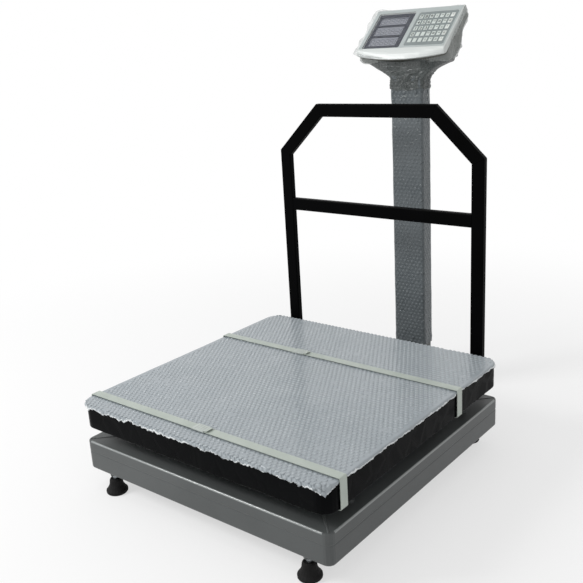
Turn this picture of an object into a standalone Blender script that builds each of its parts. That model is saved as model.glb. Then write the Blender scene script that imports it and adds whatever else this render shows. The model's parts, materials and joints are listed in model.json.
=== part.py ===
"""Platform scale with a back rail and an indicator head on a rear pole.

Units are metres, +Z is up, +X runs along the platform's front edge and +Y to the back.
The floor is Z = 0, and the origin lies on it, under the middle of the whole scale.
Every sub-part is one named object. Moving pieces hang from empties on their joint axes.
"""
import math

import bmesh
import bpy
from mathutils import Matrix, Vector

# Fits
SEAT_GAP = 0.0003           # air between two pieces that touch
SCREW_CLEARANCE = 0.0003    # radial air between a screw and its hole
SCREW_HEAD_RATIO = 0.65     # height of a hexagon head or nut, as a share of the thread
SCREW_FLATS_RATIO = 1.625   # width across its flats

# Platform plan
PLATFORM_WIDTH = 0.600
PLATFORM_DEPTH = 0.600

# Base frame: a rolled channel ring on four feet
FOOT_CLEARANCE = 0.047      # floor to the underside of the base
BASE_HEIGHT = 0.060
BASE_CORNER = 0.014
BASE_WALL = 0.0025
BASE_TOP_FLANGE = 0.045
BASE_BOTTOM_FLANGE = 0.038
BASE_LIP = 0.010            # return lip at the inner edge of the top flange
BASE_BEND = 0.003           # outside bend radius of the channel
SWAGE_SHARE = 0.62          # height of the rolled line, as a share of the base height
SWAGE_DEPTH = 0.0007
SWAGE_WIDTH = 0.004
BASE_BEAM_WIDTH = 0.080
BASE_BEAM_HEIGHT = 0.044
BEAM_WALL = 0.003

# Deck: the weighed frame, its plate and the packing film on it
BASE_TO_DECK = 0.031        # daylight between the base and the deck
DECK_HEIGHT = 0.048
DECK_CORNER = 0.028
DECK_WALL = 0.0025
DECK_TOP_FLANGE = 0.030
DECK_BOTTOM_FLANGE = 0.040
DECK_BEND = 0.002
PLATE_THICKNESS = 0.003
PLATE_INSET = 0.001
DECK_BEAM_WIDTH = 0.060
DECK_RIB_WIDTH = 0.025
DECK_RIB_OFFSET = 0.150     # rib centre from the middle of the platform
RIB_WALL = 0.002
RIB_DROP = 0.001            # how much lower the ribs stand than the beam
FILM_THICKNESS = 0.003
FILM_SKIRT = 0.0015         # thickness of the film where it hangs over an edge
FILM_DROP = 0.004           # hang over the sides and the back
FILM_FRONT_DROP = 0.011     # hang over the front
FILM_LOOSE = 0.0005         # air between the hanging film and the deck frame

# Load cell: a beam cell between the base beam and the deck beam
CELL_LENGTH = 0.150
CELL_SIDE = 0.040
CELL_BORE = 0.024
CELL_BORE_OFFSET = 0.0155
CELL_SLOT = 0.008
CELL_FOOT = 0.044           # length of each end that is bolted down
CELL_SPACER = 0.0058
CELL_SCREW = 0.008
CELL_SCREW_PITCH = 0.025
CELL_SCREW_GRIP = 0.018     # screw length inside the cell
STOP_SCREW = 0.008
STOP_INSET = 0.030          # overload stop to the platform's side
STOP_END_INSET = 0.100      # and to its front or rear edge
STOP_GAP = 0.0013           # stop to deck, more than the deck's travel
STOP_HEAD = 0.005
STOP_NUT = 0.006
STOP_NUT_WIDTH = 0.013
LEVEL_DIAMETER = 0.022
LEVEL_HEIGHT = 0.010
LEVEL_INSET = 0.024
VIAL_CROWN = 0.6            # flat top of the vial, as a share of its radius

# Feet
FOOT_INSET_X = 0.057        # foot's axis to the platform's side
FOOT_INSET_Y = 0.017        # and to its front or rear edge
FOOT_DIAMETER = 0.043
FOOT_BELL_HEIGHT = 0.031
FOOT_STUD = 0.012
FOOT_SOCKET = 0.019         # depth of the stud's seat in the bell
FOOT_NUT_WIDTH = 0.019
FOOT_NUT_HEIGHT = 0.008
FOOT_STUD_ABOVE = 0.014     # stud above the weld nut at the rest height

# Back rail of mitred rectangular tube
RAIL_HEIGHT = 0.5125        # top of the rail above the deck's film
RAIL_SHOULDER = 0.4085
RAIL_INSET = 0.0424         # rail's outer side to the platform's side
RAIL_SLANT = 0.1084         # how far each slanted corner runs inwards
RAIL_TUBE_WIDTH = 0.028
RAIL_TUBE_DEPTH = 0.014
RAIL_WALL = 0.0015
RAIL_CORNER = 0.002
RAIL_MID_TOP = 0.2955
RAIL_STANDOFF = 0.0096      # deck frame to rail
RAIL_START = 0.002          # rail's lower end above the deck frame's underside
RAIL_SCREW = 0.008
RAIL_SCREW_LOW = 0.0115     # lower screw above the deck frame's underside
RAIL_SCREW_PITCH = 0.020
RAIL_BUSH = 0.018

# Pole and its bracket
POLE_BEHIND = 0.1676        # platform's rear edge to the pole's centre line
POLE_WIDTH = 0.072
POLE_DEPTH = 0.030
POLE_WALL = 0.002
POLE_CORNER = 0.003
POLE_LENGTH = 0.698
WRAP_THICKNESS = 0.0018     # bubble film round the pole
SOCKET_WALL = 0.003
SOCKET_HEIGHT = 0.070
SOCKET_FLOOR = 0.003
BRACKET_RISE = 0.0055       # bracket above the underside of the base
BRACKET_HEIGHT = 0.044
BRACKET_PLATE_WIDTH = 0.130
BRACKET_PLATE = 0.005
BRACKET_CORNER = 0.004
BRACKET_SCREW = 0.008
BRACKET_SCREW_X = 0.052
BRACKET_SCREW_LOW = 0.012   # lower screws above the bracket's underside
BRACKET_SCREW_PITCH = 0.026
CLAMP_SCREW = 0.006
CLAMP_SCREW_LOW = 0.018
CLAMP_SCREW_PITCH = 0.034

# Yoke on the pole, which carries the head
CAP_FLANGE = 0.0025
CAP_SPIGOT = 0.020
YOKE_PLATE = 0.003
YOKE_EAR = 0.003
YOKE_HALF_WIDTH = 0.0445
YOKE_DEPTH = 0.027
YOKE_AXIS_RISE = 0.0107     # tilt axis above the yoke's plate
YOKE_SCREW = 0.005
YOKE_SCREW_X = 0.018
EAR_RADIUS = 0.009
PIVOT_SCREW = 0.006
KNOB_RADIUS = 0.010
KNOB_LENGTH = 0.0135
KNOB_GRIP = 0.008           # thread inside the head's lug
LUG_RADIUS = 0.0085
LUG_WIDTH = 0.011
LUG_ROOT = 0.009            # how far the lugs run up the inside of the shell
KNOB_COLLAR = 0.006         # radius of the collar between a knob and its ear
KNOB_COLLAR_LENGTH = 0.0025
KNOB_LOBES = 6
KNOB_SCALLOP = 0.07         # depth of the scallops, as a share of the radius
KNOB_CHAMFER = 0.0012

# Indicator head, measured from the lower edge of its face: along the face and into the head
FACE_TILT = math.radians(41.5)
AXIS_TO_EDGE = -0.0110      # from the tilt axis to the face's lower edge, along the face
AXIS_TO_FACE = 0.0623       # from the tilt axis to the face, square to it
FACE_WIDTH = 0.2210
FACE_LENGTH = 0.130
COVER_DEPTH = 0.0145
COVER_WALL = 0.003
CHIN_MIDDLE = 0.018         # how far the curved chin drops below the face
CHIN_END = 0.004
CHIN_FALL = 0.009           # how far the chin curls back
CHIN_START = 0.006          # where the chin's curl starts, above the face's lower edge
CHIN_RIM = 0.0035           # thickness of the chin's edge
COVER_EDGE = 0.003          # radius of the cover's outer edge
SHELL_WALL = 0.0025
SHELL_TOE = 0.036           # depth at the lower edge
SHELL_DEEP = 0.0545         # depth of the battery bulge
SHELL_BULGE_LOW = 0.030     # battery bulge along the face, from and to
SHELL_BULGE_HIGH = 0.062
SHELL_SHALLOW_START = 0.092
SHELL_SHALLOW = 0.031
SHELL_END_ROUND = 0.008
SHELL_FILLET = 0.006
LENS_WIDTH = 0.0950
LENS_HEIGHT = 0.1090
LENS_LEFT = 0.0120          # lens to the face's left edge
LENS_LOW = 0.0085           # lens above the face's lower edge
LENS_THICKNESS = 0.0015
LEDGE = 0.002               # width of the ledge under the lens and the keypad
DISPLAY_ROWS = 3
DISPLAY_WIDTH = 0.084
DISPLAY_HEIGHT = 0.027
DISPLAY_PITCH = 0.0325
DISPLAY_DEPTH = 0.005
DISPLAY_RIM = 0.003
DISPLAY_SINK = 0.001        # glass below the rim
KEYPAD_WIDTH = 0.096
KEYPAD_HEIGHT = 0.101
KEYPAD_THICKNESS = 0.0008
KEYPAD_RIGHT = 0.0075       # keypad to the face's right edge
KEYPAD_LOW = 0.0125
KEY_COLUMNS = 7
KEY_ROWS = 5
KEY_WIDTH = 0.0095
KEY_HEIGHT = 0.0125
KEY_PITCH_X = 0.0128
KEY_PITCH_Y = 0.0180
KEY_RISE = 0.0006
BOARD_THICKNESS = 0.0016
BOARD_INSET = 0.0045        # board to the head's sides and top
BOARD_LOW = 0.006
POST_DIAMETER = 0.007
POST_INSET = 0.010
POST_LOW = 0.012
POST_HIGH = 0.009           # upper posts below the face's top
BATTERY_LENGTH = 0.097
BATTERY_WIDTH = 0.029
BATTERY_HEIGHT = 0.025
SWITCH_X = 0.074
SWITCH_LENGTH = 0.019
SWITCH_WIDTH = 0.013
SWITCH_FLANGE = 0.0012
SWITCH_BODY = 0.012
SWITCH_WALL = 0.0015
SWITCH_POCKET = 0.006
ROCKER_RISE = 0.0030        # rocker's raised ends above the shell
ROCKER_SADDLE = 0.0017
ROCKER_KEEL = 0.0028        # depth of the rocker inside its housing
ROCKER_ROOM = 0.0008        # rocker's ends to the mouth of the switch
ROCKER_TAPER = 0.001
ROCKER_SWING = math.radians(8.0)    # either side of level
INLET_X = -0.074
INLET_DIAMETER = 0.011
INLET_BORE = 0.0055
INLET_RIM = 0.0012
INLET_DEPTH = 0.009
WRAP_LOOSE = 0.0055         # air between the head and its film
NECK_FLARE = 0.0640         # half width of the pole film where it opens under the head
NECK_DEPTH = 0.0250
NECK_WAIST = 0.018          # start of the opening below the pole's top
NECK_BELOW_AXIS = 0.004     # film's top edge below the tilt axis
NECK_SIDE_ROOM = 0.002      # head film to pole film, at the sides
NECK_END_ROOM = 0.0046      # and at the front and back

# Straps round the deck
STRAP_WIDTH = 0.0185
STRAP_THICKNESS = 0.0010
STRAP_FRONT_INSET = 0.039   # strap's middle to the platform's front edge
STRAP_BEHIND_CELL = 0.048   # rear strap's middle behind the load cell, which it clears
STRAP_CORNER = 0.0018
CLIP_LENGTH = 0.030
CLIP_THICKNESS = 0.0009
CLIP_FRONT_X = -0.006
CLIP_REAR_X = -0.081

# Levels worked out from the sizes above
BASE_BOTTOM = FOOT_CLEARANCE
BASE_TOP = BASE_BOTTOM + BASE_HEIGHT
DECK_BOTTOM = BASE_TOP + BASE_TO_DECK
DECK_TOP = DECK_BOTTOM + DECK_HEIGHT
PLATE_BOTTOM = DECK_TOP + SEAT_GAP
PLATE_TOP = PLATE_BOTTOM + PLATE_THICKNESS
FILM_BOTTOM = PLATE_TOP + SEAT_GAP
FILM_TOP = FILM_BOTTOM + FILM_THICKNESS
BEAM_BOTTOM = BASE_BOTTOM + BASE_WALL + SEAT_GAP
BEAM_TOP = BEAM_BOTTOM + BASE_BEAM_HEIGHT
SPACER_LOW = BEAM_TOP + SEAT_GAP
CELL_BOTTOM = SPACER_LOW + CELL_SPACER + SEAT_GAP
CELL_TOP = CELL_BOTTOM + CELL_SIDE
SPACER_HIGH = CELL_TOP + SEAT_GAP
DECK_BEAM_BOTTOM = SPACER_HIGH + CELL_SPACER + SEAT_GAP
DECK_BEAM_TOP = DECK_TOP - DECK_WALL - SEAT_GAP
HALF_W = PLATFORM_WIDTH / 2
HALF_D = PLATFORM_DEPTH / 2
POLE_Y = HALF_D + POLE_BEHIND
BRACKET_BOTTOM = BASE_BOTTOM + BRACKET_RISE
POLE_BOTTOM = BRACKET_BOTTOM + SOCKET_FLOOR + SEAT_GAP
POLE_TOP = POLE_BOTTOM + POLE_LENGTH
CAP_BOTTOM = POLE_TOP + SEAT_GAP
YOKE_BOTTOM = CAP_BOTTOM + CAP_FLANGE + SEAT_GAP
RAIL_HALF_WIDTH = HALF_W - RAIL_INSET
TILT_Z = YOKE_BOTTOM + YOKE_PLATE + YOKE_AXIS_RISE
LUG_OUTER = YOKE_HALF_WIDTH - YOKE_EAR - SEAT_GAP
BULGE_MIDDLE = (SHELL_BULGE_LOW + SHELL_BULGE_HIGH) / 2

ROUND_STEPS = 20            # sides of a small turned piece
FILLET_STEPS = 3            # facets on a quarter bend


def clear_scene():
    for old in list(bpy.data.objects):
        bpy.data.objects.remove(old, do_unlink=True)


def linear_channel(value):
    if value <= 0.04045:
        return value / 12.92
    return ((value + 0.055) / 1.055) ** 2.4


def finish(name, colour, roughness, metallic=0.0):
    """Principled material from an sRGB hex colour."""
    material = bpy.data.materials.new(name)
    material.use_nodes = True
    shader = material.node_tree.nodes["Principled BSDF"]
    channels = [int(colour[i:i + 2], 16) / 255 for i in (1, 3, 5)]
    shader.inputs["Base Color"].default_value = [linear_channel(c) for c in channels] + [1.0]
    shader.inputs["Roughness"].default_value = roughness
    shader.inputs["Metallic"].default_value = metallic
    return material


def pivot(name, parent, location=(0, 0, 0), tilt=0.0):
    """Empty that carries a sub-assembly or marks a joint axis."""
    empty = bpy.data.objects.new(name, None)
    empty.parent = parent
    empty.location = location
    empty.rotation_euler = (tilt, 0, 0)
    bpy.context.collection.objects.link(empty)
    return empty


def add_piece(name, bm, parent, material=None, smooth=False, location=(0, 0, 0)):
    """Turn a bmesh into a named object, with its faces pointing out."""
    bmesh.ops.recalc_face_normals(bm, faces=bm.faces)
    mesh = bpy.data.meshes.new(name)
    bm.to_mesh(mesh)
    bm.free()
    piece = bpy.data.objects.new(name, mesh)
    piece.parent = parent
    piece.location = location
    bpy.context.collection.objects.link(piece)
    if smooth:
        mesh.shade_smooth()
        mesh.set_sharp_from_angle(angle=math.radians(35))
    if material is None:
        piece.hide_render = True
        piece.display_type = "WIRE"
    else:
        mesh.materials.append(material)
    return piece


def combine(piece, cutter, operation="DIFFERENCE"):
    """Cut a piece with a hidden cutter, or join the cutter to it."""
    boolean = piece.modifiers.new(cutter.name, "BOOLEAN")
    boolean.operation = operation
    boolean.object = cutter
    return piece


# Outlines and skins

def arc(centre, radius, start, end, steps):
    """Points of an arc in a plane, angles in radians."""
    points = []
    for i in range(steps + 1):
        angle = start + (end - start) * i / steps
        points.append((centre[0] + radius * math.cos(angle), centre[1] + radius * math.sin(angle)))
    return points


def circle(radius, steps=ROUND_STEPS, centre=(0.0, 0.0), phase=0.0):
    turn = 2 * math.pi
    return [(centre[0] + radius * math.cos(phase + turn * i / steps),
             centre[1] + radius * math.sin(phase + turn * i / steps)) for i in range(steps)]


def hexagon(width, centre=(0.0, 0.0)):
    """Outline of a nut, from its width across flats."""
    return circle(width / math.sqrt(3), 6, centre, math.pi / 6)


def filleted(corners, steps=FILLET_STEPS):
    """Closed outline through corners given as (x, y, radius), with round corners."""
    outline = []
    count = len(corners)
    for i, (x, y, radius) in enumerate(corners):
        here = Vector((x, y))
        before = Vector(corners[i - 1][:2]) - here
        after = Vector(corners[(i + 1) % count][:2]) - here
        half = before.angle(after) / 2
        reach = min(radius / math.tan(half), 0.45 * before.length, 0.45 * after.length)
        first = here + before.normalized() * reach
        last = here + after.normalized() * reach
        bow = reach * math.tan(half)
        centre = here + (before.normalized() + after.normalized()).normalized() * (bow / math.sin(half))
        for k in range(steps + 1):
            blend = first.lerp(last, k / steps) - centre
            outline.append(tuple(centre + blend.normalized() * bow))
    return outline


def rectangle(width, depth, centre=(0.0, 0.0)):
    x, y = width / 2, depth / 2
    return [(centre[0] + sx * x, centre[1] + sy * y) for sx, sy in ((1, -1), (1, 1), (-1, 1), (-1, -1))]


def rounded_rect(width, depth, radius, steps=FILLET_STEPS, centre=(0.0, 0.0)):
    x, y = width / 2, depth / 2
    corners = [(x, -y), (x, y), (-x, y), (-x, -y)]
    return filleted([(centre[0] + cx, centre[1] + cy, radius) for cx, cy in corners], steps)


def offset_corners(corners, distances):
    """Move each edge of a closed outline outwards, the edge after corner i by distances[i]."""
    count = len(corners)
    lines = []
    for i in range(count):
        a = Vector(corners[i])
        b = Vector(corners[(i + 1) % count])
        along = (b - a).normalized()
        outward = Vector((along.y, -along.x))
        lines.append((a + outward * distances[i], along))
    moved = []
    for i in range(count):
        (p, d), (q, e) = lines[i - 1], lines[i]
        cross = d.x * e.y - d.y * e.x
        reach = ((q - p).x * e.y - (q - p).y * e.x) / cross
        moved.append(tuple(p + d * reach))
    return moved


def skin(bm, rings, loop=False):
    """Join rings of equal length with faces. A loop joins the last ring to the first.

    Without a loop, both ends are closed.
    """
    verts = [[bm.verts.new(p) for p in ring] for ring in rings]
    pairs = list(zip(verts, verts[1:]))
    if loop:
        pairs.append((verts[-1], verts[0]))
    for low, high in pairs:
        for i in range(len(low)):
            j = (i + 1) % len(low)
            bm.faces.new((low[i], low[j], high[j], high[i]))
    if not loop:
        bm.faces.new(reversed(verts[0]))
        bm.faces.new(verts[-1])
    return bm


def along_z(outline, z):
    return [(x, y, z) for x, y in outline]


def along_y(outline, y):
    return [(x, y, z) for x, z in outline]


def along_x(outline, x):
    return [(x, y, z) for y, z in outline]


def prism(outline, start, end, place=along_z, bm=None):
    """Solid between two copies of one outline."""
    return skin(bm or bmesh.new(), [place(outline, start), place(outline, end)])


def hollow_prism(outer, inner, start, end, place=along_z, bm=None):
    rings = [place(outer, start), place(outer, end), place(inner, end), place(inner, start)]
    return skin(bm or bmesh.new(), rings, loop=True)


def box(low, high, bm=None):
    outline = [(low[0], low[1]), (high[0], low[1]), (high[0], high[1]), (low[0], high[1])]
    return prism(outline, low[2], high[2], along_z, bm)


def turned(profile, steps=ROUND_STEPS, bm=None, centre=(0.0, 0.0), loop=False):
    """Turn (radius, z) points about a vertical axis. The ends are closed unless it loops."""
    rings = [along_z(circle(radius, steps, centre), z) for radius, z in profile]
    return skin(bm or bmesh.new(), rings, loop)


def rods(places, radius, start, end, place=along_z, steps=12):
    """Parallel round rods, one at each place, used as pegs and as hole cutters."""
    bm = bmesh.new()
    for centre in places:
        prism(circle(radius, steps, centre), start, end, place, bm)
    return bm


def screw_and_nut(place, size, head_seat, nut_seat, along):
    """Hexagon screw with its nut drawn up, one body along an axis: a dome on the head's end."""
    away = 1 if head_seat > nut_seat else -1
    thick = SCREW_HEAD_RATIO * size
    flats = SCREW_FLATS_RATIO * size
    head = hexagon(flats, place)
    shank = circle(size / 2, 6, place, math.pi / 6)
    stations = [(circle(flats / 2 * 0.9, 6, place, math.pi / 6), head_seat + away * thick),
                (head, head_seat + away * (thick - 0.0008)), (head, head_seat), (shank, head_seat),
                (shank, nut_seat), (head, nut_seat), (head, nut_seat - away * thick)]
    return skin(bmesh.new(), [along(outline, at) for outline, at in stations])


def channel_ring(width, depth, corner, profile, steps):
    """Ring that sweeps a section of (inset, z) points round a rectangle with round corners."""
    rings = []
    for inset, z in profile:
        radius = max(corner - inset, 0.0006)
        rings.append(along_z(rounded_rect(width - 2 * inset, depth - 2 * inset, radius, steps), z))
    return skin(bmesh.new(), rings, loop=True)


def mirrored(x, y):
    return [(sx * x, sy * y) for sx in (-1, 1) for sy in (-1, 1)]


# Base

def build_base_frame(parent, steel):
    """Rolled channel ring: outer web with a swage line, two flanges and a return lip."""
    wall = BASE_WALL
    swage = BASE_BOTTOM + SWAGE_SHARE * BASE_HEIGHT
    half = SWAGE_WIDTH / 2
    lip_bottom = BASE_TOP - BASE_LIP
    quarter = math.pi / 2
    top_bend = arc((BASE_BEND, BASE_TOP - BASE_BEND), BASE_BEND, quarter, 2 * quarter, 2)
    low_bend = arc((BASE_BEND, BASE_BOTTOM + BASE_BEND), BASE_BEND, 2 * quarter, 3 * quarter, 2)
    profile = [(BASE_TOP_FLANGE, lip_bottom), (BASE_TOP_FLANGE, BASE_TOP)]
    profile += top_bend
    profile += [(0, swage + half), (SWAGE_DEPTH, swage), (0, swage - half)]
    profile += low_bend
    profile += [(BASE_BOTTOM_FLANGE, BASE_BOTTOM), (BASE_BOTTOM_FLANGE, BASE_BOTTOM + wall)]
    profile += [(wall, BASE_BOTTOM + wall), (wall, BASE_TOP - wall)]
    profile += [(BASE_TOP_FLANGE - wall, BASE_TOP - wall), (BASE_TOP_FLANGE - wall, lip_bottom)]
    bm = channel_ring(PLATFORM_WIDTH, PLATFORM_DEPTH, BASE_CORNER, profile, 4)
    frame = add_piece("base_frame", bm, parent, steel, smooth=True)

    combine(frame, add_piece("base_fittings", base_fittings(), parent), "UNION")
    reach = FOOT_NUT_HEIGHT + wall
    stud_hole = FOOT_STUD / 2 + SCREW_CLEARANCE
    holes = rods(foot_places(), stud_hole, BASE_BOTTOM - reach, BASE_BOTTOM + wall + reach)
    combine(frame, add_piece("base_foot_holes", holes, parent))
    bracket_hole = BRACKET_SCREW / 2 + SCREW_CLEARANCE
    holes = rods(bracket_screw_places(), bracket_hole, HALF_D - 2 * wall, HALF_D + wall, along_y)
    combine(frame, add_piece("base_bracket_holes", holes, parent))
    return frame


def foot_places():
    return mirrored(HALF_W - FOOT_INSET_X, HALF_D - FOOT_INSET_Y)


def base_fittings():
    """What is welded or locked to the base frame: the feet's nuts and the overload stops."""
    bm = bmesh.new()
    bite = BASE_WALL / 2
    low = BASE_BOTTOM + bite
    high = BASE_BOTTOM + BASE_WALL - bite / 2
    for place in foot_places():
        nut = hexagon(FOOT_NUT_WIDTH, place)
        prism(nut, BASE_BOTTOM - FOOT_NUT_HEIGHT, low - bite / 2, along_z, bm)
        prism(nut, high, BASE_BOTTOM + BASE_WALL + FOOT_NUT_HEIGHT, along_z, bm)
    head_top = DECK_BOTTOM - STOP_GAP
    nut_low = BASE_TOP - BASE_WALL - STOP_NUT
    nut_high = BASE_TOP + STOP_NUT
    thread = STOP_SCREW / 2
    flats = STOP_NUT_WIDTH / math.sqrt(3)
    for place in mirrored(HALF_W - STOP_INSET, HALF_D - STOP_END_INSET):
        profile = [(thread, nut_low - STOP_NUT), (thread, nut_low), (flats, nut_low), (flats, nut_high),
                   (thread, nut_high), (thread, head_top - STOP_HEAD), (flats, head_top - STOP_HEAD),
                   (flats, head_top - 0.001), (thread, head_top)]
        turned(profile, 6, bm, place)
    return bm


def bracket_screw_places():
    """The four bracket screws, as (x, z)."""
    low = BRACKET_BOTTOM + BRACKET_SCREW_LOW
    return [(side * BRACKET_SCREW_X, z) for side in (-1, 1) for z in (low, low + BRACKET_SCREW_PITCH)]


def cell_screw_places(y):
    return [(0.0, y - CELL_SCREW_PITCH / 2), (0.0, y + CELL_SCREW_PITCH / 2)]


CELL_FIXED_Y = CELL_LENGTH / 2 - CELL_FOOT / 2
CELL_FREE_Y = -CELL_FIXED_Y


def rect_tube(width, height, wall, centre, radius):
    """Outer and inner outline of a rectangular tube's section."""
    outer = rounded_rect(width, height, radius, 2, centre)
    inner = rounded_rect(width - 2 * wall, height - 2 * wall, max(radius - wall, 0.0005), 2, centre)
    return outer, inner


def build_base_beam(parent, steel):
    """Centre beam of rectangular tube, from the front web to the rear one."""
    reach = HALF_D - BASE_WALL - SEAT_GAP
    centre = (0.0, (BEAM_BOTTOM + BEAM_TOP) / 2)
    outer, inner = rect_tube(BASE_BEAM_WIDTH, BASE_BEAM_HEIGHT, BEAM_WALL, centre, 0.004)
    bm = hollow_prism(outer, inner, -reach, reach, along_y)
    beam = add_piece("base_beam", bm, parent, steel, smooth=True)
    hole = CELL_SCREW / 2 + SCREW_CLEARANCE
    holes = rods(cell_screw_places(CELL_FIXED_Y), hole, BEAM_TOP - 2 * BEAM_WALL, BEAM_TOP + BEAM_WALL)
    combine(beam, add_piece("base_beam_holes", holes, parent))


def cell_screws(places, seat, tip, side):
    """Cap screws into the load cell. Side is the way the heads point: -1 down, 1 up."""
    bm = bmesh.new()
    radius = CELL_SCREW / 2
    head = CELL_SCREW * 0.75
    top = seat + side * CELL_SCREW
    for place in places:
        profile = [(head - 0.0008, top), (head, top - side * 0.0008), (head, seat),
                   (radius, seat), (radius, tip)]
        turned(profile, 12, bm, place)
    return bm


def build_load_cell(base, deck, steel, aluminium):
    """Aluminium beam cell with two joined bores, and a spacer with its screws at each end."""
    half = CELL_SIDE / 2
    bm = box((-half, -CELL_LENGTH / 2, CELL_BOTTOM), (half, CELL_LENGTH / 2, CELL_TOP))
    bmesh.ops.bevel(bm, geom=bm.edges[:], offset=0.001, segments=1, affect="EDGES")
    cell = add_piece("load_cell", bm, base, aluminium)
    middle = (CELL_BOTTOM + CELL_TOP) / 2
    bores = [(-CELL_BORE_OFFSET, middle), (CELL_BORE_OFFSET, middle)]
    side = CELL_SIDE
    cutter = rods(bores, CELL_BORE / 2, -side, side, along_x, 24)
    combine(cell, add_piece("cell_bores", cutter, base))
    slot = CELL_SLOT / 2
    cutter = box((-side, -CELL_BORE_OFFSET, middle - slot), (side, CELL_BORE_OFFSET, middle + slot))
    combine(cell, add_piece("cell_slot", cutter, base))
    hole = CELL_SCREW / 2 + SCREW_CLEARANCE
    depth = CELL_SCREW_GRIP + 2 * SEAT_GAP
    low = rods(cell_screw_places(CELL_FIXED_Y), hole, CELL_BOTTOM - half, CELL_BOTTOM + depth)
    combine(cell, add_piece("cell_low_holes", low, base))
    high = rods(cell_screw_places(CELL_FREE_Y), hole, CELL_TOP - depth, CELL_TOP + half)
    combine(cell, add_piece("cell_high_holes", high, base))

    low_seat = BEAM_TOP - BEAM_WALL - SEAT_GAP
    high_seat = DECK_BEAM_BOTTOM + BEAM_WALL + SEAT_GAP
    ends = (("lower", base, CELL_FIXED_Y, SPACER_LOW, low_seat, CELL_BOTTOM + CELL_SCREW_GRIP, -1),
            ("upper", deck, CELL_FREE_Y, SPACER_HIGH, high_seat, CELL_TOP - CELL_SCREW_GRIP, 1))
    for end, body, y, z, seat, tip, side in ends:
        outline = rounded_rect(CELL_SIDE, CELL_FOOT, 0.002, 1, (0.0, y))
        spacer = add_piece("cell_spacer_" + end, prism(outline, z, z + CELL_SPACER), body, steel)
        screws = cell_screws(cell_screw_places(y), seat, tip, side)
        combine(spacer, add_piece("cell_screws_" + end, screws, body), "UNION")


def build_level(parent, brass, glass):
    """Round spirit level on the base's rear left corner."""
    place = (-HALF_W + LEVEL_INSET, HALF_D - LEVEL_INSET)
    radius = LEVEL_DIAMETER / 2
    bottom = BASE_TOP + SEAT_GAP
    top = bottom + LEVEL_HEIGHT
    bore = radius - 0.0025
    floor = bottom + 0.003
    profile = [(radius, bottom), (radius, top - 0.001), (radius - 0.001, top), (bore, top), (bore, floor)]
    add_piece("level_case", turned(profile, ROUND_STEPS, None, place), parent, brass, smooth=True)
    vial = bore - SEAT_GAP
    profile = [(vial, floor + SEAT_GAP), (vial, top - 0.0015), (vial * VIAL_CROWN, top - 0.0006)]
    add_piece("level_vial", turned(profile, ROUND_STEPS, None, place), parent, glass, smooth=True)


def build_feet(base, rubber, zinc):
    """Bell feet on threaded studs that pass through the base's nuts."""
    stud = FOOT_STUD / 2
    bell = FOOT_DIAMETER / 2
    socket = stud + SCREW_CLEARANCE
    seat = FOOT_BELL_HEIGHT - FOOT_SOCKET
    neck = stud + 0.0065
    profile = [(bell - 0.0015, 0), (bell, 0.002), (bell, 0.0065), (bell - 0.004, 0.011),
               (bell - 0.0075, 0.018), (neck, FOOT_BELL_HEIGHT - 0.003),
               (neck - 0.002, FOOT_BELL_HEIGHT), (socket, FOOT_BELL_HEIGHT), (socket, seat)]
    stud_top = BASE_BOTTOM + BASE_WALL + FOOT_NUT_HEIGHT + FOOT_STUD_ABOVE
    corners = {"front_left": (-1, -1), "front_right": (1, -1), "rear_left": (-1, 1), "rear_right": (1, 1)}
    for corner, (side, end) in corners.items():
        place = (side * (HALF_W - FOOT_INSET_X), end * (HALF_D - FOOT_INSET_Y))
        foot = pivot("foot_axis_" + corner, base, (place[0], place[1], 0))
        add_piece("foot_bell_" + corner, turned(profile, ROUND_STEPS), foot, rubber, smooth=True)
        rod = [(stud, seat + SEAT_GAP), (stud, stud_top - 0.001), (stud - 0.001, stud_top)]
        add_piece("foot_stud_" + corner, turned(rod, 12), foot, zinc, smooth=True)


# Deck

def build_deck_frame(parent, black):
    """Black channel ring with round corners, open to the inside."""
    wall = DECK_WALL
    quarter = math.pi / 2
    profile = [(DECK_TOP_FLANGE, DECK_TOP)]
    profile += arc((DECK_BEND, DECK_TOP - DECK_BEND), DECK_BEND, quarter, 2 * quarter, 2)
    profile += arc((DECK_BEND, DECK_BOTTOM + DECK_BEND), DECK_BEND, 2 * quarter, 3 * quarter, 2)
    profile += [(DECK_BOTTOM_FLANGE, DECK_BOTTOM), (DECK_BOTTOM_FLANGE, DECK_BOTTOM + wall)]
    profile += [(wall, DECK_BOTTOM + wall), (wall, DECK_TOP - wall), (DECK_TOP_FLANGE, DECK_TOP - wall)]
    bm = channel_ring(PLATFORM_WIDTH, PLATFORM_DEPTH, DECK_CORNER, profile, 6)
    frame = add_piece("deck_frame", bm, parent, black, smooth=True)
    hole = RAIL_SCREW / 2 + SCREW_CLEARANCE
    holes = rods(rail_screw_places(), hole, HALF_D - 2 * wall, HALF_D + wall, along_y)
    combine(frame, add_piece("deck_rail_holes", holes, parent))


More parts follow.
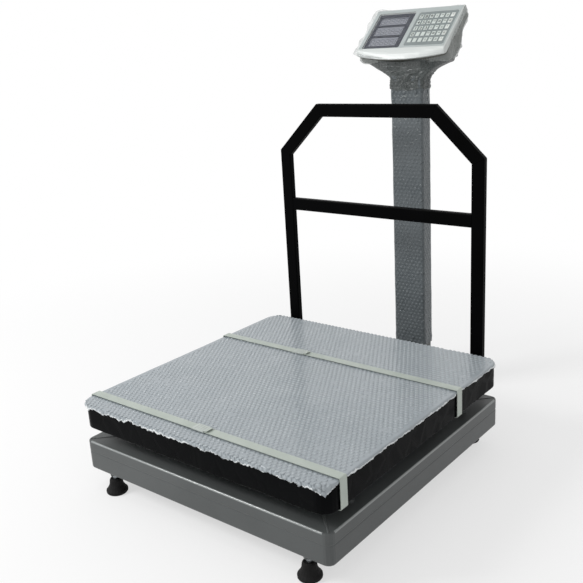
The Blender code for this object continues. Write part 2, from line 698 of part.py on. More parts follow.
def build_deck_beams(parent, black):
    """Centre beam over the load cell, with two ribs welded to each side of it."""
    reach = HALF_D - DECK_WALL - SEAT_GAP
    height = DECK_BEAM_TOP - DECK_BEAM_BOTTOM
    middle = (DECK_BEAM_TOP + DECK_BEAM_BOTTOM) / 2
    outer, inner = rect_tube(DECK_BEAM_WIDTH, height, BEAM_WALL, (0.0, middle), 0.004)
    beam = add_piece("deck_beam", hollow_prism(outer, inner, -reach, reach, along_y), parent, black,
                     smooth=True)
    hole = CELL_SCREW / 2 + SCREW_CLEARANCE
    low = DECK_BEAM_BOTTOM
    holes = rods(cell_screw_places(CELL_FREE_Y), hole, low - BEAM_WALL, low + 2 * BEAM_WALL)
    combine(beam, add_piece("deck_beam_holes", holes, parent))

    bm = bmesh.new()
    start = DECK_BEAM_WIDTH / 2 - BEAM_WALL / 2
    end = HALF_W - DECK_WALL - SEAT_GAP
    for offset in (-DECK_RIB_OFFSET, DECK_RIB_OFFSET):
        outer, inner = rect_tube(DECK_RIB_WIDTH, height - RIB_DROP, RIB_WALL, (offset, middle), 0.003)
        hollow_prism(outer, inner, start, end, along_x, bm)
        hollow_prism(outer, inner, -end, -start, along_x, bm)
    combine(beam, add_piece("deck_ribs", bm, parent), "UNION")


def build_deck_top(parent, plate_steel, film):
    """Deck plate, and the bubble film laid on it with its edges hanging over."""
    trim = 2 * PLATE_INSET
    outline = rounded_rect(PLATFORM_WIDTH - trim, PLATFORM_DEPTH - trim, DECK_CORNER - PLATE_INSET, 6)
    add_piece("deck_plate", prism(outline, PLATE_BOTTOM, PLATE_TOP), parent, plate_steel)

    inner_w = PLATFORM_WIDTH + 2 * FILM_LOOSE
    inner_d = PLATFORM_DEPTH + 2 * FILM_LOOSE
    outer_w = inner_w + 2 * FILM_SKIRT
    outer_d = inner_d + 2 * FILM_SKIRT
    inner = rounded_rect(inner_w, inner_d, DECK_CORNER + FILM_LOOSE, 6)
    outer = rounded_rect(outer_w, outer_d, DECK_CORNER + FILM_LOOSE + FILM_SKIRT, 6)
    hem = FILM_BOTTOM - PLATE_THICKNESS - FILM_DROP
    crown = rounded_rect(outer_w - 2 * FILM_SKIRT, outer_d - 2 * FILM_SKIRT, DECK_CORNER, 6)
    rings = [along_z(outline, FILM_BOTTOM), along_z(inner, FILM_BOTTOM - PLATE_THICKNESS),
             along_z(inner, hem), along_z(outer, hem),
             along_z(outer, FILM_TOP - FILM_SKIRT), along_z(crown, FILM_TOP)]
    sheet = add_piece("deck_film", skin(bmesh.new(), rings), parent, film)
    front = -HALF_D - FILM_LOOSE
    reach = HALF_W - DECK_CORNER
    flap = box((-reach, front - FILM_SKIRT, FILM_TOP - FILM_FRONT_DROP), (reach, front, hem + FILM_SKIRT))
    combine(sheet, add_piece("deck_film_flap", flap, parent), "UNION")


def build_straps(parent, strapping, clip_steel):
    """Two straps drawn round the whole deck, each closed with a crimped clip."""
    inner_x = HALF_W + FILM_LOOSE + FILM_SKIRT + SEAT_GAP
    low = DECK_BOTTOM - SEAT_GAP
    high = FILM_TOP + SEAT_GAP
    centre = (0.0, (low + high) / 2)
    inner = rounded_rect(2 * inner_x, high - low, STRAP_CORNER, 3, centre)
    grow = 2 * STRAP_THICKNESS
    bend = STRAP_CORNER + STRAP_THICKNESS
    outer = rounded_rect(2 * inner_x + grow, high - low + grow, bend, 3, centre)
    clip_low = high + STRAP_THICKNESS + SEAT_GAP
    straps = (("front", STRAP_FRONT_INSET - HALF_D, CLIP_FRONT_X),
              ("rear", CELL_LENGTH / 2 + STRAP_BEHIND_CELL, CLIP_REAR_X))
    for name, y, clip_x in straps:
        bm = hollow_prism(outer, inner, y - STRAP_WIDTH / 2, y + STRAP_WIDTH / 2, along_y)
        add_piece("strap_" + name, bm, parent, strapping, smooth=True)
        inside = STRAP_WIDTH / 2 + SEAT_GAP
        outside = inside + CLIP_THICKNESS
        top = clip_low + CLIP_THICKNESS
        profile = [(y - outside, high), (y - outside, top), (y + outside, top), (y + outside, high),
                   (y + inside, high), (y + inside, clip_low), (y - inside, clip_low), (y - inside, high)]
        bm = prism(profile, clip_x - CLIP_LENGTH / 2, clip_x + CLIP_LENGTH / 2, along_x)
        add_piece("strap_clip_" + name, bm, parent, clip_steel)


# Back rail

def rail_screw_places():
    """The rail's four screws, as (x, z)."""
    x = RAIL_HALF_WIDTH - RAIL_TUBE_WIDTH / 2
    low = DECK_BOTTOM + RAIL_SCREW_LOW
    return [(side * x, z) for side in (-1, 1) for z in (low, low + RAIL_SCREW_PITCH)]


def mitred_tube(points, index, y):
    """One straight tube of a bent path in the XZ plane, cut on the bisectors of its corners."""
    start = Vector(points[index])
    end = Vector(points[index + 1])
    along = (end - start).normalized()
    across = Vector((along.y, -along.x))

    def cut_slope(corner, before, after):
        if corner in (0, len(points) - 1):
            return 0.0
        bisector = (before + after).normalized()
        return -across.dot(bisector) / along.dot(bisector)

    first = start - Vector(points[index - 1]) if index else along
    last = Vector(points[index + 2]) - end if index + 2 < len(points) else along
    slope_start = cut_slope(index, first.normalized(), along)
    slope_end = cut_slope(index + 1, along, last.normalized())
    trim_start = SEAT_GAP / 2 if index else 0.0
    trim_end = SEAT_GAP / 2 if index + 2 < len(points) else 0.0
    middle = (0.0, y + RAIL_TUBE_DEPTH / 2)
    outer, inner = rect_tube(RAIL_TUBE_WIDTH, RAIL_TUBE_DEPTH, RAIL_WALL, middle, RAIL_CORNER)
    rings = []
    for section, at_end in ((outer, False), (outer, True), (inner, True), (inner, False)):
        ring = []
        for a, b in section:
            if at_end:
                spot = end + across * a + along * (slope_end * a - trim_end)
            else:
                spot = start + across * a + along * (slope_start * a + trim_start)
            ring.append((spot.x, b, spot.y))
        rings.append(ring)
    return skin(bmesh.new(), rings, loop=True)


def rail_path():
    """Centre line of the rail, left foot to right foot, as (x, z)."""
    outer = [(-RAIL_HALF_WIDTH, DECK_BOTTOM + RAIL_START),
             (-RAIL_HALF_WIDTH, FILM_TOP + RAIL_SHOULDER),
             (-RAIL_HALF_WIDTH + RAIL_SLANT, FILM_TOP + RAIL_HEIGHT),
             (RAIL_HALF_WIDTH - RAIL_SLANT, FILM_TOP + RAIL_HEIGHT),
             (RAIL_HALF_WIDTH, FILM_TOP + RAIL_SHOULDER),
             (RAIL_HALF_WIDTH, DECK_BOTTOM + RAIL_START)]
    half = RAIL_TUBE_WIDTH / 2
    return offset_corners(outer, [half, half, half, half, half, 0.0])


def build_rail(parent, black, zinc):
    """Back rail: two posts, two slanted corners, a top bar and a middle bar."""
    y = HALF_D + RAIL_STANDOFF
    path = rail_path()
    names = ("rail_post_left", "rail_corner_left", "rail_top_bar", "rail_corner_right", "rail_post_right")
    pieces = {}
    for index, name in enumerate(names):
        pieces[name] = add_piece(name, mitred_tube(path, index, y), parent, black, smooth=True)
    inside = RAIL_HALF_WIDTH - RAIL_TUBE_WIDTH - SEAT_GAP
    middle = (y + RAIL_TUBE_DEPTH / 2, FILM_TOP + RAIL_MID_TOP - RAIL_TUBE_WIDTH / 2)
    outer, inner = rect_tube(RAIL_TUBE_DEPTH, RAIL_TUBE_WIDTH, RAIL_WALL, middle, RAIL_CORNER)
    bar = hollow_prism(outer, inner, -inside, inside, along_x)
    add_piece("rail_middle_bar", bar, parent, black, smooth=True)

    back = y + RAIL_TUBE_DEPTH
    holes = rods(rail_screw_places(), RAIL_SCREW / 2 + SCREW_CLEARANCE, HALF_D, back + RAIL_WALL, along_y)
    holes = add_piece("rail_post_holes", holes, parent)
    for side in ("left", "right"):
        post = pieces["rail_post_" + side]
        boss_pair = rods([p for p in rail_screw_places() if (p[0] > 0) == (side == "right")],
                         RAIL_BUSH / 2, HALF_D + SEAT_GAP, y + RAIL_WALL / 2, along_y, 16)
        combine(post, add_piece("rail_bosses_" + side, boss_pair, parent), "UNION")
        combine(post, holes)
    web_inside = HALF_D - DECK_WALL - SEAT_GAP
    for number, place in enumerate(rail_screw_places(), 1):
        bm = screw_and_nut(place, RAIL_SCREW, back + SEAT_GAP, web_inside, along_y)
        add_piece("rail_screw_%d" % number, bm, parent, zinc, smooth=True)


# Pole

def build_bracket(parent, steel, zinc):
    """Rear bracket: a plate on the base's rear web, an inverted channel and the pole's socket."""
    low = BRACKET_BOTTOM
    high = low + BRACKET_HEIGHT
    fit = 2 * SEAT_GAP
    inner = rounded_rect(POLE_WIDTH + fit, POLE_DEPTH + fit, POLE_CORNER, 2, (0.0, POLE_Y))
    grow = fit + 2 * SOCKET_WALL
    bend = POLE_CORNER + SOCKET_WALL
    outer = rounded_rect(POLE_WIDTH + grow, POLE_DEPTH + grow, bend, 2, (0.0, POLE_Y))
    rings = [along_z(outer, low), along_z(outer, low + SOCKET_HEIGHT),
             along_z(inner, low + SOCKET_HEIGHT), along_z(inner, low + SOCKET_FLOOR)]
    bracket = add_piece("mast_bracket", skin(bmesh.new(), rings), parent, steel, smooth=True)

    face = HALF_D + SEAT_GAP
    middle = (0.0, low + BRACKET_HEIGHT / 2)
    outline = rounded_rect(BRACKET_PLATE_WIDTH, BRACKET_HEIGHT, BRACKET_CORNER, 2, middle)
    plate = add_piece("bracket_plate", prism(outline, face, face + BRACKET_PLATE, along_y), parent)
    arm_half = POLE_WIDTH / 2 + SEAT_GAP + SOCKET_WALL - 0.001
    web = SOCKET_WALL
    profile = [(-arm_half, low), (-arm_half, high), (arm_half, high), (arm_half, low),
               (arm_half - web, low), (arm_half - web, high - web), (web - arm_half, high - web),
               (web - arm_half, low)]
    socket_front = POLE_Y - POLE_DEPTH / 2 - SEAT_GAP - SOCKET_WALL / 2
    arm = add_piece("bracket_arm", prism(profile, face + BRACKET_PLATE / 2, socket_front, along_y), parent)
    combine(bracket, arm, "UNION")
    combine(bracket, plate, "UNION")
    hole = BRACKET_SCREW / 2 + SCREW_CLEARANCE
    holes = rods(bracket_screw_places(), hole, HALF_D - BRACKET_PLATE, face + 2 * BRACKET_PLATE, along_y)
    combine(bracket, add_piece("bracket_holes", holes, parent))
    reach = POLE_WIDTH / 2 + 4 * SOCKET_WALL
    cross = rods(clamp_places(), CLAMP_SCREW / 2 + SCREW_CLEARANCE, -reach, reach, along_x)
    clamp_cutter = add_piece("clamp_holes", cross, parent)
    combine(bracket, clamp_cutter)

    outside = face + BRACKET_PLATE + SEAT_GAP
    inside = HALF_D - BASE_WALL - SEAT_GAP
    for number, place in enumerate(bracket_screw_places(), 1):
        bm = screw_and_nut(place, BRACKET_SCREW, outside, inside, along_y)
        add_piece("bracket_screw_%d" % number, bm, parent, zinc, smooth=True)
    seat = POLE_WIDTH / 2 + SEAT_GAP + SOCKET_WALL + SEAT_GAP
    for name, place in zip(("lower", "upper"), clamp_places()):
        bm = screw_and_nut(place, CLAMP_SCREW, seat, -seat, along_x)
        add_piece("clamp_screw_" + name, bm, parent, zinc, smooth=True)
    return clamp_cutter


def clamp_places():
    """The two screws across the socket, as (y, z)."""
    low = BRACKET_BOTTOM + CLAMP_SCREW_LOW
    return [(POLE_Y, low), (POLE_Y, low + CLAMP_SCREW_PITCH)]


def build_pole(parent, clamp_cutter, steel, film):
    """Rectangular tube, and the bubble film round it that opens out under the head."""
    outer, inner = rect_tube(POLE_WIDTH, POLE_DEPTH, POLE_WALL, (0.0, POLE_Y), POLE_CORNER)
    tube = hollow_prism(outer, inner, POLE_BOTTOM, POLE_TOP)
    pole = add_piece("pole_tube", tube, parent, steel, smooth=True)
    combine(pole, clamp_cutter)

    start = BRACKET_BOTTOM + SOCKET_HEIGHT + SEAT_GAP
    half_x = POLE_WIDTH / 2 + SEAT_GAP
    half_y = POLE_DEPTH / 2 + SEAT_GAP
    flare_top = TILT_Z - NECK_BELOW_AXIS
    waist = POLE_TOP - NECK_WAIST
    stations = [(start, half_x, half_y), (waist, half_x, half_y),
                ((waist + flare_top) / 2, (half_x + NECK_FLARE) / 2, (half_y + NECK_DEPTH) / 2),
                (flare_top, NECK_FLARE - WRAP_THICKNESS, NECK_DEPTH - WRAP_THICKNESS)]
    bend = POLE_CORNER + SEAT_GAP
    inside = [along_z(rounded_rect(2 * x, 2 * y, bend, 3, (0.0, POLE_Y)), z) for z, x, y in stations]
    grow = 2 * WRAP_THICKNESS
    bend += WRAP_THICKNESS
    outside = [along_z(rounded_rect(2 * x + grow, 2 * y + grow, bend, 3, (0.0, POLE_Y)), z)
               for z, x, y in stations]
    bm = skin(bmesh.new(), outside + inside[::-1], loop=True)
    add_piece("pole_film", bm, parent, film, smooth=True)


def build_yoke(parent, steel, plastic):
    """Plug in the pole's top, and the U-shaped yoke whose ears hold the head."""
    rim_x = POLE_WIDTH / 2
    rim_y = POLE_DEPTH / 2
    trim = POLE_WALL + SEAT_GAP
    rim = rounded_rect(2 * rim_x, 2 * rim_y, POLE_CORNER, 2, (0.0, POLE_Y))
    spigot = rounded_rect(2 * (rim_x - trim), 2 * (rim_y - trim), 0.001, 2, (0.0, POLE_Y))
    rings = [along_z(spigot, CAP_BOTTOM - CAP_SPIGOT), along_z(spigot, CAP_BOTTOM),
             along_z(rim, CAP_BOTTOM), along_z(rim, CAP_BOTTOM + CAP_FLANGE)]
    cap = add_piece("pole_plug", skin(bmesh.new(), rings), parent, plastic)

    top = YOKE_BOTTOM + YOKE_PLATE
    half = YOKE_HALF_WIDTH
    low_y = POLE_Y - YOKE_DEPTH / 2
    high_y = POLE_Y + YOKE_DEPTH / 2
    yoke = add_piece("head_yoke", box((-half, low_y, YOKE_BOTTOM), (half, high_y, top)), parent, steel)
    ears = bmesh.new()
    ear = [(POLE_Y + EAR_RADIUS, YOKE_BOTTOM + YOKE_PLATE / 2)]
    ear += arc((POLE_Y, TILT_Z), EAR_RADIUS, 0.0, math.pi, 8)
    ear += [(POLE_Y - EAR_RADIUS, YOKE_BOTTOM + YOKE_PLATE / 2)]
    prism(ear, half - YOKE_EAR, half, along_x, ears)
    prism(ear, -half, YOKE_EAR - half, along_x, ears)
    combine(yoke, add_piece("yoke_ears", ears, parent), "UNION")
    hole = PIVOT_SCREW / 2 + SCREW_CLEARANCE
    holes = rods([(POLE_Y, TILT_Z)], hole, -2 * half, 2 * half, along_x)
    combine(yoke, add_piece("yoke_pivot_hole", holes, parent))

    places = [(-YOKE_SCREW_X, POLE_Y), (YOKE_SCREW_X, POLE_Y)]
    tip = CAP_BOTTOM - CAP_SPIGOT / 2
    holes = rods(places, YOKE_SCREW / 2 + SCREW_CLEARANCE, tip, top)
    combine(cap, add_piece("plug_screw_holes", holes, parent))
    bm = bmesh.new()
    for place in places:
        profile = [(YOKE_SCREW * 0.9, top + YOKE_SCREW * 0.6), (YOKE_SCREW, top - YOKE_PLATE / 2),
                   (YOKE_SCREW / 2, top - YOKE_PLATE / 2), (YOKE_SCREW / 2, tip + 0.001)]
        turned(profile, 12, bm, place)
    combine(yoke, add_piece("yoke_screws", bm, parent), "UNION")


# Indicator head, in its own frame: X across, Y up the face, Z out of the face

def face_point(x, along, depth):
    """Point of the head, from the face's lower edge: across, up the face, into the head."""
    return (x, AXIS_TO_EDGE + along, AXIS_TO_FACE - depth)


def shell_corners():
    """Side outline of the rear shell as (along, out of the face)."""
    low = SHELL_BULGE_LOW
    high = SHELL_BULGE_HIGH
    return [(0.0, -COVER_DEPTH - SEAT_GAP), (0.0, -SHELL_TOE), (low, -SHELL_DEEP), (high, -SHELL_DEEP),
            (SHELL_SHALLOW_START, -SHELL_SHALLOW - 0.003), (FACE_LENGTH, -SHELL_SHALLOW),
            (FACE_LENGTH, -COVER_DEPTH - SEAT_GAP)]


def shell_rings(grow, top_grow, front, half_width, end_round):
    """Stations across the head, each the shell's side outline moved out by grow."""
    rings = []
    quarter = math.pi / 2
    ends = []
    for step in range(3):
        angle = quarter * step / 2
        ends.append((half_width - end_round * (1 - math.sin(angle)), end_round * (1 - math.cos(angle))))
    stations = [(-x, inset) for x, inset in reversed(ends)] + ends
    for x, inset in stations:
        out = grow - inset
        corners = offset_corners(shell_corners(), [out, out, out, out, out, top_grow - inset, front])
        radii = [0.0006] + [max(SHELL_FILLET + out, 0.001)] * 5 + [0.0006]
        outline = filleted([(a, w, r) for (a, w), r in zip(corners, radii)], FILLET_STEPS)
        rings.append([face_point(x, a, -w) for a, w in outline])
    return rings


def build_rear_shell(head, plastic):
    """Moulded rear half: a cup with a battery bulge, and two lugs for the yoke."""
    half = FACE_WIDTH / 2
    bm = skin(bmesh.new(), shell_rings(0.0, 0.0, 0.0, half, SHELL_END_ROUND))
    shell = add_piece("head_rear_shell", bm, head, plastic, smooth=True)
    wall = SHELL_WALL
    bm = skin(bmesh.new(), shell_rings(-wall, -wall, 0.01, half - wall, SHELL_END_ROUND - wall))
    combine(shell, add_piece("shell_cavity", bm, head))

    lugs = bmesh.new()
    embed = AXIS_TO_FACE - SHELL_DEEP + SHELL_WALL * 0.6
    for side in (-1, 1):
        outer = side * LUG_OUTER
        inner = side * (LUG_OUTER - LUG_WIDTH)
        rest = -FACE_TILT
        round_end = arc((0.0, 0.0), LUG_RADIUS, rest + math.pi, rest + 2 * math.pi, 8)
        rise = Matrix.Rotation(rest, 2) @ Vector((LUG_RADIUS, embed + LUG_ROOT))
        back = Matrix.Rotation(rest, 2) @ Vector((-LUG_RADIUS, embed + LUG_ROOT))
        outline = round_end + [tuple(rise), tuple(back)]
        prism(outline, min(outer, inner), max(outer, inner), along_x, lugs)
    combine(shell, add_piece("shell_lugs", lugs, head), "UNION")
    hole = PIVOT_SCREW / 2 + SCREW_CLEARANCE
    bores = bmesh.new()
    deep = LUG_OUTER - KNOB_GRIP - SEAT_GAP
    prism(circle(hole, 12), deep, LUG_OUTER + wall, along_x, bores)
    prism(circle(hole, 12), -LUG_OUTER - wall, -deep, along_x, bores)
    combine(shell, add_piece("lug_bores", bores, head))

    seat = AXIS_TO_FACE - SHELL_DEEP
    mid = AXIS_TO_EDGE + BULGE_MIDDLE
    fit = 2 * SEAT_GAP
    outline = rounded_rect(SWITCH_LENGTH + fit, SWITCH_WIDTH + fit, 0.001, 1, (SWITCH_X, mid))
    combine(shell, add_piece("switch_window", prism(outline, seat - wall, seat + 2 * wall), head))
    bm = rods([(INLET_X, mid)], INLET_DIAMETER / 2 - INLET_RIM + SEAT_GAP, seat - wall, seat + 2 * wall)
    combine(shell, add_piece("inlet_window", bm, head))
    return shell


def chin_drop(x):
    """How far the cover's chin hangs below the face at x: a bow, deepest in the middle."""
    share = 1 - (2 * x / FACE_WIDTH) ** 2
    return CHIN_END + (CHIN_MIDDLE - CHIN_END) * share


def build_front_cover(head, plastic):
    """Front half: a shallow tray with a bowed chin, a window and a keypad bed."""
    half = FACE_WIDTH / 2
    edge = COVER_EDGE
    facet = edge * (1 - math.cos(math.pi / 4))
    back = COVER_DEPTH
    rings = []
    inner = half - edge
    spread = [inner * share for share in (-1.0, -0.8, -0.5, -0.18, 0.18, 0.5, 0.8, 1.0)]
    for x in [-half, facet - half] + spread + [half - facet, half]:
        end = max(abs(x) - inner, 0.0)
        inset = edge - math.sqrt(max(edge ** 2 - end ** 2, 0.0))
        chin = chin_drop(min(max(x, -inner), inner)) - inset
        top = FACE_LENGTH - inset
        outline = [(top, back), (top, edge)]
        outline += [(top - facet, facet + inset * 0.3), (top - edge, inset)]
        steps = 5
        for k in range(steps + 1):
            s = k / steps
            outline.append((CHIN_START - (chin + CHIN_START) * s, inset + (CHIN_FALL - inset) * s * s))
        outline += [(CHIN_RIM / 3 - chin, CHIN_FALL + CHIN_RIM), (inset, back)]
        rings.append([face_point(x, a, depth) for a, depth in outline])
    cover = add_piece("head_front_cover", skin(bmesh.new(), rings), head, plastic, smooth=True)

    wall = COVER_WALL
    low = face_point(-half + wall, wall, back + 0.01)
    high = face_point(half - wall, FACE_LENGTH - wall, wall)
    combine(cover, add_piece("cover_cavity", box(low, high), head))

    posts = bmesh.new()
    for spot in post_places():
        prism(circle(POST_DIAMETER / 2, 10, spot), AXIS_TO_FACE - board_depth() + SEAT_GAP,
              AXIS_TO_FACE - wall / 2, along_z, posts)
    combine(cover, add_piece("cover_posts", posts, head), "UNION")
    lens = lens_centre()
    pocket = LENS_THICKNESS + 2 * SEAT_GAP
    fit = 2 * SEAT_GAP
    sink(cover, head, "lens_bed", lens, LENS_WIDTH + fit, LENS_HEIGHT + fit, pocket, 0.003)
    ledge = 2 * LEDGE
    sink(cover, head, "lens_window", lens, LENS_WIDTH - ledge, LENS_HEIGHT - ledge, 2 * wall, 0.002)
    pad = keypad_centre()
    sink(cover, head, "keypad_bed", pad, KEYPAD_WIDTH + fit, KEYPAD_HEIGHT + fit, KEYPAD_THICKNESS, 0.003)
    return cover


def sink(cover, head, name, centre, width, height, depth, radius):
    """Cut a round-cornered pocket into the face."""
    outline = rounded_rect(width, height, radius, 2, centre)
    cutter = prism(outline, AXIS_TO_FACE - depth, AXIS_TO_FACE + 0.005)
    combine(cover, add_piece(name, cutter, head))


def board_depth():
    """Front of the main board below the face."""
    return COVER_WALL + SEAT_GAP + DISPLAY_DEPTH + SEAT_GAP


def post_places():
    x = FACE_WIDTH / 2 - POST_INSET
    rows = (AXIS_TO_EDGE + POST_LOW, AXIS_TO_EDGE + FACE_LENGTH - POST_HIGH)
    return [(side * x, row) for side in (-1, 1) for row in rows]


def lens_centre():
    return (-FACE_WIDTH / 2 + LENS_LEFT + LENS_WIDTH / 2, AXIS_TO_EDGE + LENS_LOW + LENS_HEIGHT / 2)


def keypad_centre():
    return (FACE_WIDTH / 2 - KEYPAD_RIGHT - KEYPAD_WIDTH / 2, AXIS_TO_EDGE + KEYPAD_LOW + KEYPAD_HEIGHT / 2)


def build_face_pieces(head, finishes):
    """Lens, display modules, keypad membrane and main board."""
    lens = lens_centre()
    low = AXIS_TO_FACE - LENS_THICKNESS - SEAT_GAP
    outline = rounded_rect(LENS_WIDTH, LENS_HEIGHT, 0.003, 2, lens)
    add_piece("display_lens", prism(outline, low, low + LENS_THICKNESS), head, finishes["lens"])

    front = AXIS_TO_FACE - COVER_WALL - SEAT_GAP
    for row in range(DISPLAY_ROWS):
        y = lens[1] + (1 - row) * DISPLAY_PITCH
        outer = rounded_rect(DISPLAY_WIDTH, DISPLAY_HEIGHT, 0.001, 1, (lens[0], y))
        rim = 2 * DISPLAY_RIM
        inner = rounded_rect(DISPLAY_WIDTH - rim, DISPLAY_HEIGHT - rim, 0.0005, 1, (lens[0], y))
        rings = [along_z(outer, front - DISPLAY_DEPTH), along_z(outer, front),
                 along_z(inner, front), along_z(inner, front - DISPLAY_SINK)]
        add_piece("display_row_%d" % (row + 1), skin(bmesh.new(), rings), head, finishes["display"])

    pad = keypad_centre()
    top = AXIS_TO_FACE
    bottom = top - KEYPAD_THICKNESS + SEAT_GAP
    sheet = prism(rounded_rect(KEYPAD_WIDTH, KEYPAD_HEIGHT, 0.003, 2, pad), bottom, top)
    membrane = add_piece("keypad_membrane", sheet, head, finishes["keypad"])
    keys = bmesh.new()
    for row in range(KEY_ROWS):
        for column in range(KEY_COLUMNS):
            x = pad[0] + (column - (KEY_COLUMNS - 1) / 2) * KEY_PITCH_X
            y = pad[1] + (row - (KEY_ROWS - 1) / 2) * KEY_PITCH_Y
            foot = rectangle(KEY_WIDTH, KEY_HEIGHT, (x, y))
            crown = rectangle(KEY_WIDTH - 2 * KEY_RISE, KEY_HEIGHT - 2 * KEY_RISE, (x, y))
            root = (top + bottom) / 2
            skin(keys, [along_z(foot, root), along_z(foot, top), along_z(crown, top + KEY_RISE)])
    combine(membrane, add_piece("keypad_keys", keys, head), "UNION")

    depth = board_depth()
    side = FACE_WIDTH / 2 - BOARD_INSET
    low = face_point(-side, BOARD_LOW, depth + BOARD_THICKNESS)
    high = face_point(side, FACE_LENGTH - BOARD_INSET, depth)
    add_piece("main_board", box(low, high), head, finishes["board"])


def build_rear_pieces(head, finishes):
    """Battery, power inlet and rocker switch."""
    middle = BULGE_MIDDLE
    back = SHELL_DEEP - SHELL_WALL - SEAT_GAP
    low = face_point(-BATTERY_LENGTH / 2, middle - BATTERY_WIDTH / 2, back)
    high = face_point(BATTERY_LENGTH / 2, middle + BATTERY_WIDTH / 2, back - BATTERY_HEIGHT)
    bm = box(low, high)
    bmesh.ops.bevel(bm, geom=bm.edges[:], offset=0.001, segments=1, affect="EDGES")
    add_piece("battery", bm, head, finishes["battery"])

    y = AXIS_TO_EDGE + middle
    face = AXIS_TO_FACE - SHELL_DEEP
    radius = INLET_DIAMETER / 2
    barrel = radius - INLET_RIM
    bore = INLET_BORE / 2
    seat = face - SEAT_GAP
    profile = [(bore, seat - INLET_RIM), (radius, seat - INLET_RIM), (radius, seat),
               (barrel, seat), (barrel, face + INLET_DEPTH), (bore, face + INLET_DEPTH)]
    bm = turned(profile, ROUND_STEPS, None, (INLET_X, y), loop=True)
    add_piece("power_inlet", bm, head, finishes["black"], smooth=True)

    width = SWITCH_LENGTH
    height = SWITCH_WIDTH
    rim = 2 * SWITCH_WALL
    flange = rounded_rect(width + rim, height + rim, 0.001, 1, (SWITCH_X, y))
    body = rounded_rect(width, height, 0.001, 1, (SWITCH_X, y))
    mouth = rounded_rect(width - rim, height - rim, 0.0005, 1, (SWITCH_X, y))
    proud = seat - SWITCH_FLANGE
    rings = [along_z(body, face + SWITCH_BODY), along_z(body, seat), along_z(flange, seat),
             along_z(flange, proud), along_z(mouth, proud), along_z(mouth, face + SWITCH_POCKET)]
    add_piece("switch_body", skin(bmesh.new(), rings), head, finishes["black"])
    build_rocker(head, finishes["black"], (SWITCH_X, y, face), width - rim, height - rim)


def build_rocker(head, plastic, centre, length, height):
    """Rocker paddle on its axis inside the switch, at rest with one end pressed in."""
    axis = pivot("rocker_axis", head, centre)
    half = length / 2 - ROCKER_ROOM
    side = height / 2 - SEAT_GAP
    keel = half - ROCKER_TAPER
    outline = [(-half, -ROCKER_RISE), (0.0, -ROCKER_SADDLE), (half, -ROCKER_RISE),
               (keel, ROCKER_KEEL), (-keel, ROCKER_KEEL)]
    swing = Matrix.Rotation(ROCKER_SWING, 2)
    pressed = [tuple(swing @ Vector(point)) for point in outline]
    add_piece("switch_rocker", prism(pressed, -side, side, along_y), axis, plastic)


def build_head_film(head, scale, film):
    """Loose bubble film drawn over the rear shell, open at the face and round the neck."""
    half = FACE_WIDTH / 2
    loose = WRAP_LOOSE
    skin_t = WRAP_THICKNESS * 0.75
    bend = SHELL_END_ROUND + loose
    outer = shell_rings(loose + skin_t, SEAT_GAP + skin_t, 0.0, half + loose + skin_t, bend)
    bag = add_piece("head_film", skin(bmesh.new(), outer), head, film, smooth=True)
    inner = shell_rings(loose, SEAT_GAP, 0.01, half + loose, bend - skin_t)
    combine(bag, add_piece("film_cavity", skin(bmesh.new(), inner), head))
    reach = NECK_FLARE + NECK_SIDE_ROOM
    depth = NECK_DEPTH + NECK_END_ROOM
    neck = box((-reach, POLE_Y - depth, TILT_Z - depth), (reach, POLE_Y + depth, TILT_Z + depth))
    combine(bag, add_piece("film_neck", neck, scale))


def build_knobs(head, plastic):
    """Lobed clamp knobs that screw through the yoke's ears into the head's lugs."""
    for name, side in (("left", -1), ("right", 1)):
        axis = pivot("knob_axis_" + name, head, (side * YOKE_HALF_WIDTH, 0, 0))
        shank = PIVOT_SCREW / 2
        steps = 4 * KNOB_LOBES
        wave = [1.0 - KNOB_SCALLOP * (1 - math.cos(KNOB_LOBES * 2 * math.pi * k / steps)) / 2
                for k in range(steps)]

        def station(radius, at, wavy):
            ring = circle(radius, steps)
            if wavy:
                ring = [(y * w, z * w) for (y, z), w in zip(ring, wave)]
            return along_x(ring, side * at)

        tip = -(YOKE_EAR + SEAT_GAP + KNOB_GRIP)
        seat = SEAT_GAP
        end = seat + KNOB_LENGTH
        collar = seat + KNOB_COLLAR_LENGTH
        chamfer = KNOB_CHAMFER
        rings = [station(shank, tip, False), station(shank, seat, False), station(KNOB_COLLAR, seat, False),
                 station(KNOB_COLLAR, collar, False),
                 station(KNOB_RADIUS - chamfer, collar + chamfer / 2, True),
                 station(KNOB_RADIUS, collar + 2 * chamfer, True),
                 station(KNOB_RADIUS, end - chamfer, True),
                 station(KNOB_RADIUS - chamfer, end, True)]
        add_piece("tilt_knob_" + name, skin(bmesh.new(), rings), axis, plastic, smooth=True)


def centre_on_origin(root):
    """Move the whole scale so that the middle of its outline stands over the origin."""
    bpy.context.view_layer.update()
    pieces = [o for o in bpy.data.objects if o.type == "MESH" and not o.hide_render]
    graph = bpy.context.evaluated_depsgraph_get()
    low = Vector((math.inf, math.inf))
    high = Vector((-math.inf, -math.inf))
    for piece in pieces:
        shape = piece.evaluated_get(graph)
        for vertex in shape.data.vertices:
            spot = shape.matrix_world @ vertex.co
            for axis in (0, 1):
                low[axis] = min(low[axis], spot[axis])
                high[axis] = max(high[axis], spot[axis])
    root.location = (-(low.x + high.x) / 2, -(low.y + high.y) / 2, 0.0)


